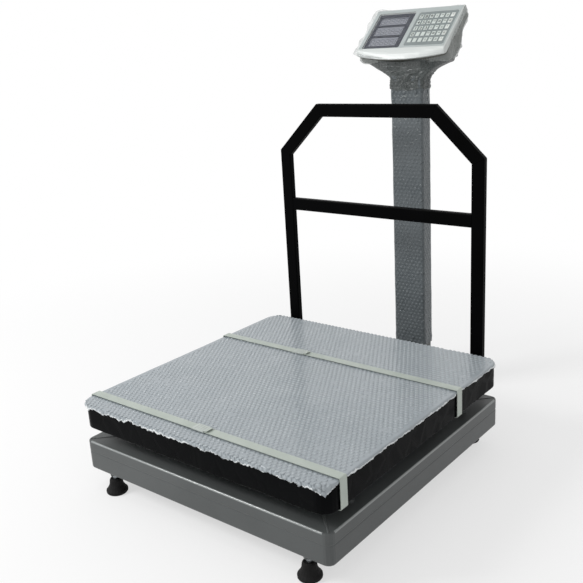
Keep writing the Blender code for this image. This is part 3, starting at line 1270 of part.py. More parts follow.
def main():
    clear_scene()
    finishes = {
        "grey": finish("grey_enamel", "#5E6260", 0.45),
        "black_steel": finish("black_enamel", "#101214", 0.35),
        "plate": finish("chequer_plate", "#8E9698", 0.40, 1.0),
        "film": finish("bubble_film", "#A8B0B4", 0.30),
        "zinc": finish("zinc_steel", "#9DA1A3", 0.35, 1.0),
        "aluminium": finish("machined_aluminium", "#B9BCBE", 0.35, 1.0),
        "rubber": finish("black_rubber", "#1A1A1A", 0.70),
        "strap": finish("strapping", "#B8C0B8", 0.50),
        "brass": finish("brass", "#B08D45", 0.30, 1.0),
        "glass": finish("vial_glass", "#B9C96A", 0.10),
        "cover": finish("silver_plastic", "#B4BCBC", 0.40),
        "shell": finish("grey_plastic", "#5A5A54", 0.55),
        "lens": finish("smoked_acrylic", "#4A4E56", 0.15),
        "display": finish("display_glass", "#8A8C96", 0.25),
        "keypad": finish("keypad_polyester", "#9BA3A3", 0.45),
        "board": finish("circuit_board", "#2F5A3A", 0.50),
        "battery": finish("battery_case", "#2A2C30", 0.50),
        "black": finish("black_plastic", "#1C1D1F", 0.50),
    }
    scale = pivot("scale", None)
    build_base_frame(scale, finishes["grey"])
    build_base_beam(scale, finishes["grey"])
    build_level(scale, finishes["brass"], finishes["glass"])
    build_feet(scale, finishes["rubber"], finishes["zinc"])
    clamp_cutter = build_bracket(scale, finishes["grey"], finishes["zinc"])
    build_pole(scale, clamp_cutter, finishes["grey"], finishes["film"])
    build_yoke(scale, finishes["grey"], finishes["black"])

    deck = pivot("deck_axis", scale)
    build_load_cell(scale, deck, finishes["zinc"], finishes["aluminium"])
    build_deck_frame(deck, finishes["black_steel"])
    build_deck_beams(deck, finishes["black_steel"])
    build_deck_top(deck, finishes["plate"], finishes["film"])
    build_straps(deck, finishes["strap"], finishes["zinc"])
    build_rail(deck, finishes["black_steel"], finishes["zinc"])

    head = pivot("head_axis", scale, (0, POLE_Y, TILT_Z), FACE_TILT)
    build_rear_shell(head, finishes["shell"])
    build_front_cover(head, finishes["cover"])
    build_face_pieces(head, finishes)
    build_rear_pieces(head, finishes)
    build_head_film(head, scale, finishes["film"])
    build_knobs(head, finishes["black"])
    centre_on_origin(scale)


main()
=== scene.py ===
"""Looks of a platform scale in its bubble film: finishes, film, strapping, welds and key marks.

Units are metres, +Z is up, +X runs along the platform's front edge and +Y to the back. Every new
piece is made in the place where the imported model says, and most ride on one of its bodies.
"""
from __future__ import annotations

import json
import logging
import math
from dataclasses import dataclass
from enum import Enum
from typing import Callable, Iterable, Sequence

import bmesh
import bpy
import numpy as np
from mathutils import Matrix, Vector, noise
from mathutils.bvhtree import BVHTree


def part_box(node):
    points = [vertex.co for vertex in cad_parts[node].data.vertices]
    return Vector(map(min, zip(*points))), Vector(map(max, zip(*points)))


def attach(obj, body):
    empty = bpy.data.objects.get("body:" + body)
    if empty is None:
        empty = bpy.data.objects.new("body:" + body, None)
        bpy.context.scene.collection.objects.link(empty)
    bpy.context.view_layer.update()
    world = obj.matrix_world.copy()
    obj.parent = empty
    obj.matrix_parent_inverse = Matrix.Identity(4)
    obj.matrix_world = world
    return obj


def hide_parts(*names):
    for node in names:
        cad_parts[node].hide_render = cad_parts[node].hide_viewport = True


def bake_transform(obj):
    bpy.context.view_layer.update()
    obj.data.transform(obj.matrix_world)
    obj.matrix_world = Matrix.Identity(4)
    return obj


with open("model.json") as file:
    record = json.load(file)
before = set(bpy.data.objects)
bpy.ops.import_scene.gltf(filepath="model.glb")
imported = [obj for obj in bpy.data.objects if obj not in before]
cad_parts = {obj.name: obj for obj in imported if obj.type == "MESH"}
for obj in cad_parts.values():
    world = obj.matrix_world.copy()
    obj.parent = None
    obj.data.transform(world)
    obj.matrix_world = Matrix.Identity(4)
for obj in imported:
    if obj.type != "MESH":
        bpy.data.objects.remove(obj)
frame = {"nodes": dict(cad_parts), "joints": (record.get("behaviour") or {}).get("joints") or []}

LOG = logging.getLogger("platform_scale")
MM = 0.001
SKIN_GAP = 0.0003           # air between a printed or pressed layer and what it lies on
BUBBLE_SINK = 0.0002        # how deep a bubble's foot sits in its film
Shape = tuple[list[Vector], list[tuple[int, ...]]]     # points and faces of a mesh


def linear(code: str) -> tuple[float, float, float, float]:
    """Turn an sRGB hex colour into linear light.

    Args:
        code: colour such as "#A8B0B4".

    Returns:
        Linear red, green, blue and full opacity.
    """
    channels = [int(code[i:i + 2], 16) / 255 for i in (1, 3, 5)]
    lit = [c / 12.92 if c <= 0.04045 else ((c + 0.055) / 1.055) ** 2.4 for c in channels]
    return (lit[0], lit[1], lit[2], 1.0)


def add(tree: bpy.types.NodeTree, kind: str, settings: dict | None = None,
        links: dict | None = None) -> bpy.types.Node:
    """Add a node, set its sockets and properties, and link its inputs.

    Args:
        tree: node tree that gets the node.
        kind: the node's type name.
        settings: values by socket number, socket name or property name.
        links: output sockets by the number or name of the input that they feed.

    Returns:
        The new node.
    """
    node = tree.nodes.new(kind)
    for key, value in (settings or {}).items():
        if isinstance(key, int) or (key in node.inputs and not hasattr(node, key)):
            node.inputs[key].default_value = value
        else:
            setattr(node, key, value)
    for key, socket in (links or {}).items():
        tree.links.new(socket, node.inputs[key])
    return node


def smooth_noise(place: Sequence[float], size: float, seed: float = 0.0) -> float:
    """Read smooth noise, from about -1 to 1, whose humps are one size across.

    Args:
        place: two or three coordinates in metres.
        size: width of one hump in metres.
        seed: shift that gives another pattern.

    Returns:
        The noise at that place.
    """
    x, y, z = (list(place) + [0.0])[:3]
    return noise.noise(Vector((x / size + seed, y / size - seed, z / size + 2 * seed)))


def fold_noise(place: Sequence[float], size: float, seed: float = 0.0) -> float:
    """Read noise with sharp ridges, 0 in the hollows and 1 on a ridge, as crumpled film has."""
    return 1.0 - min(1.0, 2.2 * abs(smooth_noise(place, size, seed)))


# Finishes


class Relief(Enum):
    """Pattern of a finish's fine surface."""

    GRAIN = "grain"         # even fine bumps: sprayed enamel, spark-eroded mould, rubber
    BRUSHED = "brushed"     # streaks along Y: rolled, milled or brushed metal
    CRINKLE = "crinkle"     # flat facets between sharp folds: thin film
    WAFFLE = "waffle"       # pressed diamonds: strapping
    SPANGLE = "spangle"     # flat crystals: zinc


@dataclass(frozen=True)
class Finish:
    """One finish: its colours, its gloss, and the pattern, size and height of its relief."""

    name: str
    tone: str
    drift: str                  # colour that the tone drifts towards in soft patches
    roughness: float
    relief: Relief
    grain_mm: float             # width of one feature of the relief
    depth_mm: float             # height of the relief
    drift_mm: float = 60.0      # width of one patch of drifted colour
    spread: float = 0.07        # how far the roughness strays over the relief
    metallic: float = 0.0
    ior: float = 1.5
    coat: float = 0.0
    transmission: float = 0.0
    alpha: float = 1.0
    specular: float = 0.5

    def material(self) -> bpy.types.Material:
        """Make the material, or find it if it is already made.

        Returns:
            The material.
        """
        made = bpy.data.materials.get(self.name)
        if made:
            return made
        made = bpy.data.materials.new(self.name)
        made.use_nodes = True
        tree = made.node_tree
        shader = tree.nodes["Principled BSDF"]
        for socket, value in (("Metallic", self.metallic), ("IOR", self.ior),
                              ("Coat Weight", self.coat), ("Alpha", self.alpha),
                              ("Transmission Weight", self.transmission),
                              ("Specular IOR Level", self.specular)):
            shader.inputs[socket].default_value = value
        point = add(tree, "ShaderNodeTexCoord").outputs["Object"]
        patch = add(tree, "ShaderNodeTexNoise", {"Scale": 1000 / self.drift_mm, "Detail": 4.0},
                    {"Vector": point})
        share = add(tree, "ShaderNodeMapRange", {"From Min": 0.3, "From Max": 0.7}, {0: patch.outputs[0]})
        colour = add(tree, "ShaderNodeMix",
                     {"data_type": "RGBA", 6: linear(self.tone), 7: linear(self.drift)},
                     {0: share.outputs[0]})
        height = self.height(tree, point)
        gloss = add(tree, "ShaderNodeMapRange", {"To Min": self.roughness - self.spread,
                                                 "To Max": self.roughness + self.spread}, {0: height})
        bump = add(tree, "ShaderNodeBump", {"Distance": self.depth_mm * MM}, {"Height": height})
        tree.links.new(colour.outputs[2], shader.inputs["Base Color"])
        tree.links.new(gloss.outputs[0], shader.inputs["Roughness"])
        tree.links.new(bump.outputs[0], shader.inputs["Normal"])
        return made

    def height(self, tree: bpy.types.NodeTree, point: bpy.types.NodeSocket) -> bpy.types.NodeSocket:
        """Build the relief's height from 0 to 1.

        Args:
            tree: the material's node tree.
            point: socket that gives the place in metres.

        Returns:
            Socket that gives the height.
        """
        scale = 1000 / self.grain_mm
        if self.relief is Relief.WAFFLE:
            return self.waffle(tree, point)
        if self.relief in (Relief.BRUSHED, Relief.GRAIN):
            detail = 2.0
            if self.relief is Relief.BRUSHED:
                detail = 3.0
                stretched = {"Scale": (1.0, 0.04, 1.0)}
                point = add(tree, "ShaderNodeMapping", stretched, {"Vector": point}).outputs[0]
            return add(tree, "ShaderNodeTexNoise", {"Scale": scale, "Detail": detail},
                       {"Vector": point}).outputs[0]
        bend = add(tree, "ShaderNodeTexNoise", {"Scale": scale / 2, "Detail": 2.0}, {"Vector": point})
        shove = add(tree, "ShaderNodeVectorMath", {"operation": "MULTIPLY_ADD", 1: (0.6 / scale,) * 3},
                    {0: bend.outputs[1], 2: point})
        flat = self.relief is Relief.SPANGLE
        cells = add(tree, "ShaderNodeTexVoronoi",
                    {"feature": "F1" if flat else "DISTANCE_TO_EDGE", "Scale": scale},
                    {"Vector": shove.outputs[0]})
        return add(tree, "ShaderNodeMapRange", {"From Max": 1.0 if flat else 0.22},
                   {0: cells.outputs[0]}).outputs[0]

    def waffle(self, tree: bpy.types.NodeTree, point: bpy.types.NodeSocket) -> bpy.types.NodeSocket:
        """Build crossed ridges that meet both the flat and the turned-down faces of a strap.

        Args:
            tree: the material's node tree.
            point: socket that gives the place in metres.

        Returns:
            Socket that gives the height.
        """
        waves = {}
        pitch = 2 * math.pi * 1000 / self.grain_mm
        for number, way in enumerate(((pitch, pitch, pitch), (pitch, -pitch, pitch))):
            run = add(tree, "ShaderNodeVectorMath", {"operation": "DOT_PRODUCT", 1: way}, {0: point})
            wave = add(tree, "ShaderNodeMath", {"operation": "SINE"}, {0: run.outputs[1]})
            waves[number] = wave.outputs[0]
        both = add(tree, "ShaderNodeMath", {"operation": "MULTIPLY"}, waves)
        return add(tree, "ShaderNodeMapRange", {"From Min": -1.0, "From Max": 1.0},
                   {0: both.outputs[0]}).outputs[0]


# Sprayed alkyd enamel on rolled steel: satin grey with a soft orange peel that blurs reflections.
GREY_ENAMEL = Finish("sprayed_grey_enamel", "#575A5A", "#505353", 0.36, Relief.GRAIN, 2.2, 0.03, 120,
                     ior=1.52, specular=0.3)
# The grey enamel over a bend: glossier, so that the edge catches the light, and painted lighter than the flat
# enamel, a painted highlight along the edge.
BEND_ENAMEL = Finish("enamel_over_bend", "#7E8382", "#767B7A", 0.31, Relief.GRAIN, 3.0, 0.01, 90,
                     spread=0.04, ior=1.52, coat=0.25, specular=0.9)
# The same enamel under two rolled black coats: deep gloss, broken by the film's faint creases.
BLACK_ENAMEL = Finish("rolled_black_enamel", "#060708", "#0B0C0D", 0.30, Relief.CRINKLE, 38.0, 0.22, 90,
                      spread=0.12, ior=1.52, specular=0.025)
# Powder coat on tube: near black, satin, with the dimples of baked powder, drawn coarser than they
# are so that they show.
POWDER_COAT = Finish("black_powder_coat", "#030303", "#050506", 0.42, Relief.GRAIN, 1.6, 0.05, 80,
                     specular=0.02)
# Hot-rolled plate under the film: pickled steel with long rolling streaks, drawn coarser so that
# they show.
DECK_STEEL = Finish("pickled_steel", "#7C8386", "#8D9496", 0.45, Relief.BRUSHED, 2.0, 0.03, 70,
                    metallic=1.0)
# Polyethylene bubble film over bright plate: milky silver with a wet gloss and soft creases.
DECK_FILM = Finish("deck_bubble_film", "#A6ADB2", "#9CA4A9", 0.20, Relief.CRINKLE, 42.0, 0.12, 110,
                   spread=0.05, ior=1.51, specular=0.4)
# The bubbles' crowns: the same film, painted a little brighter than the sheet, a painted highlight on the
# bubbles' tops.
FILM_CROWN = Finish("film_bubble_crown", "#ACB3B7", "#A1A9AE", 0.20, Relief.GRAIN, 6.0, 0.03, 90,
                    spread=0.04, ior=1.51)
# Torn rim of the film, curled into specks and painted near white, a painted highlight so that it glints in
# specks.
FILM_RIM = Finish("torn_film_rim", "#EEF1F2", "#D5DADC", 0.22, Relief.GRAIN, 2.0, 0.05, 15, ior=1.51)
# The same film wound tight on grey enamel, which shows through it.
POLE_FILM = Finish("pole_bubble_film", "#656B6E", "#5B6164", 0.28, Relief.CRINKLE, 26.0, 0.15, 70,
                   spread=0.08, ior=1.51, specular=0.35)
# Bubbles on the pole, painted a little brighter than the wrap under them, a painted highlight for the light
# that they catch.
POLE_CROWN = Finish("pole_bubble_crown", "#6C7275", "#61676A", 0.24, Relief.GRAIN, 6.0, 0.03, 60,
                    ior=1.51, specular=0.35)
# One loose layer of film over the head: clear enough to show the case, white at its folds.
HEAD_FILM = Finish("loose_film", "#BFC4C2", "#A3A8A6", 0.22, Relief.CRINKLE, 14.0, 0.6, 30,
                   spread=0.10, ior=1.51, alpha=0.48)
# The same layer gathered in many folds round the neck, so that hardly any light comes through.
NECK_FILM = Finish("gathered_film", "#626766", "#505453", 0.30, Relief.CRINKLE, 9.0, 0.8, 25,
                   spread=0.10, ior=1.51, alpha=0.85, specular=0.35)
# Polypropylene strapping: pale green-white, pressed with diamonds, drawn coarser so that they show.
STRAPPING = Finish("polypropylene_strapping", "#BAC2BA", "#AEB7AF", 0.42, Relief.WAFFLE, 3.2, 0.10, 40)
# Bright zinc plate on pressed or headed steel: crystals that glint one by one, drawn coarser so
# that they show.
ZINC = Finish("zinc_plated_steel", "#A9AEB1", "#8F9497", 0.34, Relief.SPANGLE, 3.0, 0.02, 12,
              metallic=1.0)
# Crumpled rim of the loose film: many folds on edge, so white and half clear.
FRINGE_FILM = Finish("folded_film_fringe", "#DEE1E0", "#C5CAC9", 0.20, Relief.CRINKLE, 8.0, 0.6, 18,
                     spread=0.08, ior=1.51, alpha=0.62)
# Milled 2024 aluminium of the load cell: tool marks along its length, drawn coarser so that they
# show.
ALUMINIUM = Finish("milled_aluminium", "#B9BCBE", "#ABAEB1", 0.32, Relief.BRUSHED, 1.2, 0.02, 30,
                   metallic=1.0)
# Moulded rubber: dull black with a matt grain, drawn coarser so that it shows.
RUBBER = Finish("moulded_rubber", "#141414", "#1B1B1B", 0.66, Relief.GRAIN, 1.4, 0.06, 25,
                specular=0.15)
# Turned brass of the spirit level: warm, with turning marks drawn coarser so that they show.
BRASS = Finish("turned_brass", "#B4934C", "#A4823E", 0.28, Relief.BRUSHED, 0.8, 0.01, 8, metallic=1.0)
# Vial of the spirit level: tinted glass over a green liquid.
VIAL = Finish("tinted_vial_glass", "#BDCC66", "#AFC058", 0.08, Relief.GRAIN, 8.0, 0.01, 10, spread=0.02,
              ior=1.47, coat=0.5)
# Injection-moulded ABS with a fine pearl: near white, satin, brightest on the bowed chin. The pearl
# is drawn coarser so that it shows.
SILVER_ABS = Finish("pearl_silver_abs", "#D5D9D7", "#CBD0CE", 0.34, Relief.GRAIN, 1.1, 0.03, 50,
                    ior=1.53)
# Printed polyester overlay that covers the face's flat part: cool grey, satin, its grain drawn
# coarser so that it shows.
OVERLAY = Finish("face_overlay_polyester", "#B0B8B8", "#A7AFAE", 0.34, Relief.GRAIN, 1.3, 0.03, 45)
# Spark-eroded ABS of the rear shell: dark warm grey, matt, its grain drawn coarser so that it shows.
GREY_ABS = Finish("textured_grey_abs", "#62625C", "#585852", 0.52, Relief.GRAIN, 1.3, 0.07, 40,
                  ior=1.53)
# Cast acrylic window, lightly smoked: glossy, and the displays show through it.
ACRYLIC = Finish("smoked_acrylic", "#4A4C58", "#454753", 0.08, Relief.GRAIN, 12.0, 0.01, 60,
                 spread=0.02, ior=1.49, alpha=0.14)
# Screen-printed ink on the back of the window: dull slate.
MASK_INK = Finish("slate_mask_ink", "#4A4E56", "#43474F", 0.45, Relief.GRAIN, 2.0, 0.01, 30)
# Liquid-crystal glass with its polariser: violet grey and even.
CRYSTAL = Finish("display_polariser", "#BDC1C8", "#B1B5BE", 0.22, Relief.GRAIN, 9.0, 0.01, 40,
                 spread=0.03)
# Unlit segments: the same glass where the electrode lies, a little darker.
SEGMENT = Finish("unlit_segment", "#4E525D", "#474B56", 0.25, Relief.GRAIN, 9.0, 0.01, 40, spread=0.03)
# Textured polyester of the keypad: greenish grey, its soft grain drawn coarser so that it shows.
POLYESTER = Finish("keypad_polyester", "#818A8A", "#788181", 0.40, Relief.GRAIN, 1.2, 0.03, 40)
# Printed tops of the keys: off-white ink under the polyester, with the same coarser grain.
KEY_TOP = Finish("key_top_print", "#CDD5D1", "#C2CAC6", 0.38, Relief.GRAIN, 1.2, 0.02, 20)
# The last column's tops, printed white.
KEY_TOP_WHITE = Finish("key_top_white_print", "#DFE3DF", "#D3D8D4", 0.38, Relief.GRAIN, 1.2, 0.02, 20)
# Black printing ink of the key marks.
INK = Finish("black_key_ink", "#16181A", "#1E2022", 0.45, Relief.GRAIN, 1.0, 0.01, 10)
# Solder mask on glass-epoxy board: deep green, semi-gloss, with raised tracks, drawn coarser so that
# they show.
BOARD = Finish("green_solder_mask", "#23583A", "#1B4A30", 0.35, Relief.CRINKLE, 5.0, 0.05, 30)
# Heat-shrunk sleeve of the battery: dark blue grey with a soft sheen.
SLEEVE = Finish("battery_sleeve", "#23262C", "#2B2F36", 0.40, Relief.GRAIN, 2.5, 0.03, 30)
# Moulded nylon of knobs, plug, switch and inlet: matt black, its grain drawn coarser so that it
# shows.
NYLON = Finish("black_nylon", "#17181A", "#1E1F22", 0.50, Relief.GRAIN, 1.2, 0.05, 25, specular=0.25)
# Strap clip: pressed steel strip, coated the strapping's own colour, so that clip and strap read as
# one band.
CLIP_COAT = Finish("coated_clip_steel", "#C3CAC5", "#B4BBB6", 0.32, Relief.GRAIN, 2.0, 0.04, 20)


def dress(finish: Finish, *nodes: str) -> None:
    """Give CAD nodes a finish.

    Args:
        finish: the finish.
        nodes: names of the nodes.
    """
    for name in nodes:
        for slot in frame["nodes"][name].material_slots:
            slot.material = finish.material()
        LOG.info("%s: %s", name, finish.name)


def settle(piece: bpy.types.Object, body: str, finish: Finish) -> bpy.types.Object:
    """Give a new piece its finish, material slot and body.

    Args:
        piece: the piece, in place.
        body: CAD body that carries it.
        finish: the piece's finish.

    Returns:
        The piece.
    """
    piece.data.materials.clear()
    piece.data.materials.append(finish.material())
    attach(piece, body)
    LOG.info("%s: %s on %s, %d faces", piece.name, finish.name, body, len(piece.data.polygons))
    return piece


# Meshes


def mesh_piece(name: str, points: Iterable[Sequence[float]], faces: Iterable[Sequence[int]],
               smooth: bool = True) -> bpy.types.Object:
    """Make an object from points and faces.

    Args:
        name: the piece's name.
        points: places in metres.
        faces: corner numbers of each face.
        smooth: whether the faces are shaded smooth.

    Returns:
        The object, linked to the scene.
    """
    mesh = bpy.data.meshes.new(name)
    mesh.from_pydata([tuple(p) for p in points], [], [tuple(f) for f in faces])
    if smooth:
        mesh.shade_smooth()
    piece = bpy.data.objects.new(name, mesh)
    bpy.context.scene.collection.objects.link(piece)
    return piece


def grid_piece(name: str, grid: list[list[Vector]], round_trip: bool = False,
               keep: Callable[[Vector], bool] | None = None) -> bpy.types.Object:
    """Make a surface from rows of points.

    Args:
        name: the piece's name.
        grid: rows of equally many points.
        round_trip: whether each row closes on itself.
        keep: says of a face's middle whether the face is kept.

    Returns:
        The object.
    """
    columns = len(grid[0])
    points = [p for row in grid for p in row]
    faces = []
    for r in range(len(grid) - 1):
        for c in range(columns if round_trip else columns - 1):
            d = (c + 1) % columns
            face = (r * columns + c, r * columns + d, (r + 1) * columns + d, (r + 1) * columns + c)
            if keep is None or keep(sum((points[i] for i in face), Vector()) / 4):
                faces.append(face)
    used = sorted({i for face in faces for i in face})
    place = {old: new for new, old in enumerate(used)}
    return mesh_piece(name, [points[i] for i in used], [[place[i] for i in face] for face in faces])


def block(low: Sequence[float], high: Sequence[float]) -> Shape:
    """Make a box between two corners.

    Args:
        low: lowest corner.
        high: highest corner.

    Returns:
        Its corners and faces.
    """
    (west, south, floor), (east, north, roof) = low, high
    points = [Vector((x, y, z)) for z in (floor, roof) for y in (south, north) for x in (west, east)]
    return points, [(0, 2, 3, 1), (4, 5, 7, 6), (0, 1, 5, 4), (1, 3, 7, 5), (3, 2, 6, 7), (2, 0, 4, 6)]


def joined(parts: Iterable[Shape]) -> Shape:
    """Join several shapes into one.

    Args:
        parts: points and faces of each.

    Returns:
        Points and faces of them all.
    """
    points, faces = [], []
    for corners, sides in parts:
        faces += [tuple(i + len(points) for i in side) for side in sides]
        points += corners
    return points, faces


class Stamp(Enum):
    """Small shape that is repeated."""

    BUBBLE = "GeometryNodeMeshCone"
    RIPPLE = "GeometryNodeMeshUVSphere"
    BAR = "GeometryNodeMeshCube"
    DISC = "GeometryNodeMeshCylinder"


@dataclass(frozen=True)
class Spot:
    """Place of one stamp: where it is, which way it points and its share of full size."""

    at: Vector
    lean: Vector = Vector((0.0, 0.0, 1.0))
    heading: Vector = Vector((1.0, 0.0, 0.0))
    share: float = 1.0


@dataclass(frozen=True)
class Repeat:
    """Sets one stamp on every spot with Geometry Nodes."""

    stamp: Stamp
    width: float
    length: float
    height: float
    spread: float = 0.0         # how far a stamp's size strays, as a share
    seed: int = 1

    SHAPES = {
        Stamp.BUBBLE: {"Vertices": 9, "Radius Top": 0.30, "Radius Bottom": 0.5, "Depth": 1.0},
        Stamp.RIPPLE: {"Segments": 8, "Rings": 6, "Radius": 0.5},
        Stamp.BAR: {},
        Stamp.DISC: {"Vertices": 16, "Radius": 0.5, "Depth": 1.0},
    }

    def tree(self) -> bpy.types.NodeTree:
        """Build the node tree, with its sizes as named inputs.

        Returns:
            The node tree.
        """
        tree = bpy.data.node_groups.new("repeat_" + self.stamp.name.lower(), "GeometryNodeTree")
        for name, kind in (("Geometry", "Geometry"), ("Width", "Float"), ("Length", "Float"),
                           ("Height", "Float"), ("Spread", "Float"), ("Seed", "Int"),
                           ("Material", "Material")):
            tree.interface.new_socket(name, in_out="INPUT", socket_type="NodeSocket" + kind)
        tree.interface.new_socket("Geometry", in_out="OUTPUT", socket_type="NodeSocketGeometry")
        given = add(tree, "NodeGroupInput").outputs
        shape = add(tree, self.stamp.value, self.SHAPES[self.stamp])
        lean, heading, share = (
            add(tree, "GeometryNodeInputNamedAttribute", {"data_type": kind, "Name": name})
            for name, kind in (("lean", "FLOAT_VECTOR"), ("heading", "FLOAT_VECTOR"), ("share", "FLOAT")))
        stand = add(tree, "FunctionNodeAlignRotationToVector", {"axis": "Z"}, {"Vector": lean.outputs[0]})
        turn = add(tree, "FunctionNodeAlignRotationToVector", {"axis": "X", "pivot_axis": "Z"},
                   {"Rotation": stand.outputs[0], "Vector": heading.outputs[0]})
        smallest = add(tree, "ShaderNodeMath", {"operation": "SUBTRACT", 0: 1.0}, {1: given["Spread"]})
        stray = add(tree, "FunctionNodeRandomValue", {"data_type": "FLOAT", 3: 1.0},
                    {2: smallest.outputs[0], "Seed": given["Seed"]})
        size = add(tree, "ShaderNodeCombineXYZ", None,
                   {0: given["Width"], 1: given["Length"], 2: given["Height"]})
        factor = add(tree, "ShaderNodeMath", {"operation": "MULTIPLY"},
                     {0: stray.outputs[1], 1: share.outputs[0]})
        scale = add(tree, "ShaderNodeVectorMath", {"operation": "SCALE"},
                    {0: size.outputs[0], "Scale": factor.outputs[0]})
        placed = add(tree, "GeometryNodeInstanceOnPoints", None,
                     {"Points": given["Geometry"], "Instance": shape.outputs[0],
                      "Rotation": turn.outputs[0], "Scale": scale.outputs[0]})
        real = add(tree, "GeometryNodeRealizeInstances", None, {0: placed.outputs[0]})
        painted = add(tree, "GeometryNodeSetMaterial", None,
                      {"Geometry": real.outputs[0], "Material": given["Material"]})
        add(tree, "NodeGroupOutput", None, {0: painted.outputs[0]})
        return tree

    def make(self, name: str, spots: Sequence[Spot], finish: Finish, body: str) -> bpy.types.Object:
        """Set the stamps, and turn the result into a plain mesh that rides on a body.

        Args:
            name: the piece's name.
            spots: places of the stamps.
            finish: material of the stamps.
            body: CAD body that carries them.

        Returns:
            The piece.
        """
        carrier = mesh_piece(name, [spot.at for spot in spots], [], smooth=False)
        for word in ("lean", "heading"):
            attribute = carrier.data.attributes.new(word, "FLOAT_VECTOR", "POINT")
            attribute.data.foreach_set("vector", [v for spot in spots for v in getattr(spot, word)])
        share = carrier.data.attributes.new("share", "FLOAT", "POINT")
        share.data.foreach_set("value", [spot.share for spot in spots])
        modifier = carrier.modifiers.new("repeat", "NODES")
        modifier.node_group = self.tree()
        values = {"Width": self.width, "Length": self.length, "Height": self.height,
                  "Spread": self.spread, "Seed": self.seed, "Material": finish.material()}
        for item in modifier.node_group.interface.items_tree:
            if item.in_out == "INPUT" and item.name in values:
                modifier[item.identifier] = values[item.name]
        graph = bpy.context.evaluated_depsgraph_get()
        mesh = bpy.data.meshes.new_from_object(carrier.evaluated_get(graph))
        mesh.name = name
        carrier.modifiers.remove(modifier)
        carrier.data = mesh
        if self.stamp in (Stamp.BUBBLE, Stamp.RIPPLE):
            mesh.shade_smooth()
        return settle(carrier, body, finish)


def bead_line(start: Vector, end: Vector, lean: Vector, pitch: float = 0.0022) -> list[Spot]:
    """Place a weld's ripples along a line.

    Args:
        start: one end of the bead.
        end: its other end.
        lean: direction in which the bead stands up.
        pitch: step from ripple to ripple.

    Returns:
        The ripples' spots.
    """
    way = end - start
    count = max(2, round(way.length / pitch))
    return [Spot(start.lerp(end, (i + 0.5) / count), lean, way.normalized()) for i in range(count)]


# Base


@dataclass
class Base:
    """Grey channel base on its feet, with the beam, the load cell and the spirit level."""

    ripple: float = 0.0034      # length of one ripple of a weld
    bead_width: float = 0.0042
    bead_rise: float = 0.0013
    ring_top: float = 0.107
    bend: float = 0.003
    bend_steps: int = 10
    enamel: float = 0.00006     # thickness over the bend
    corner: float = 0.015       # length at each mitre that the bend leaves bare
    mitre_bead: tuple[float, float] = (0.006, 0.042)    # where it starts and ends, from the corner
    socket_side: float = 0.0393     # the bracket's beads, from the middle
    socket_out: float = 0.0056      # and behind the ring
    socket_bead: tuple[float, float] = (0.003, 0.041)   # where they start and end, above its foot

    def build(self) -> None:
        """Dress the base and add its welds."""
        dress(GREY_ENAMEL, "base_frame", "base_beam", "mast_bracket")
        self.load_cell()
        dress(ZINC, "cell_spacer_lower", "clamp_screw_lower", "clamp_screw_upper")
        dress(ZINC, *["bracket_screw_%d" % n for n in range(1, 5)])
        dress(BRASS, "level_case")
        dress(VIAL, "level_vial")
        for corner in ("front_left", "front_right", "rear_left", "rear_right"):
            dress(RUBBER, "foot_bell_" + corner)
            dress(ZINC, "foot_stud_" + corner)
        self.welds()
        self.bends()

    def load_cell(self) -> None:
        """Copy the load cell as one welded mesh in milled aluminium, and hide the imported node."""
        source = frame["nodes"]["load_cell"].data
        worked = bmesh.new()
        worked.from_mesh(source)
        bmesh.ops.remove_doubles(worked, verts=worked.verts, dist=1e-5)
        mesh = bpy.data.meshes.new("load_cell_beam")
        worked.to_mesh(mesh)
        worked.free()
        cell = bpy.data.objects.new("load_cell_beam", mesh)
        bpy.context.scene.collection.objects.link(cell)
        mesh.materials.clear()
        mesh.materials.append(ALUMINIUM.material())
        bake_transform(cell)
        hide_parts("load_cell")
        LOG.info("%s: %s between base and deck", cell.name, ALUMINIUM.name)

    def bends(self) -> None:
        """Round off the sheet's upper bends, where the enamel runs smooth and glossy, in a lighter tone that
        is a painted highlight.
        """
        low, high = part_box("base_frame")
        radius = self.bend + self.enamel
        middle = (low + high) / 2
        half = (high - low) / 2
        points, faces = [], []
        ways = [Vector(way) for way in ((0, -1, 0), (1, 0, 0), (0, 1, 0), (-1, 0, 0))]
        for way, side in zip(ways, ways[1:] + ways[:1]):
            reach = abs(way.x) * half.x + abs(way.y) * half.y - self.bend
            run = abs(side.x) * half.x + abs(side.y) * half.y - self.corner
            centre = Vector((middle.x, middle.y, self.ring_top - self.bend)) + way * reach
            for step in range(self.bend_steps + 1):
                angle = math.pi / 2 * step / self.bend_steps
                rim = centre + way * radius * math.cos(angle) + Vector((0, 0, radius * math.sin(angle)))
                points += [rim - side * run, rim + side * run]
                if step:
                    n = len(points)
                    faces.append((n - 4, n - 3, n - 1, n - 2))
        settle(mesh_piece("base_bends", points, faces), "base", BEND_ENAMEL)

    def welds(self) -> None:
        """Lay weld beads on the frame's mitres and up the bracket's sides."""
        low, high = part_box("base_frame")
        near, far = self.mitre_bead
        spots = []
        for x, y in ((low.x, low.y), (high.x, low.y), (low.x, high.y), (high.x, high.y)):
            inwards = Vector((-math.copysign(1, x), 1 if y == low.y else -1, 0))
            corner = Vector((x, y, self.ring_top))
            spots += bead_line(corner + inwards * near, corner + inwards * far, Vector((0, 0, 1)))
        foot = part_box("mast_bracket")[0].z
        for side in (-1, 1):
            ends = [Vector((side * self.socket_side, high.y + self.socket_out, foot + rise))
                    for rise in self.socket_bead]
            spots += bead_line(*ends, Vector((side, 1, 0)).normalized())
        beads = Repeat(Stamp.RIPPLE, self.ripple, self.bead_width, 2 * self.bead_rise, 0.12, 3)
        beads.make("base_weld_beads", spots, GREY_ENAMEL, "base")


# Deck


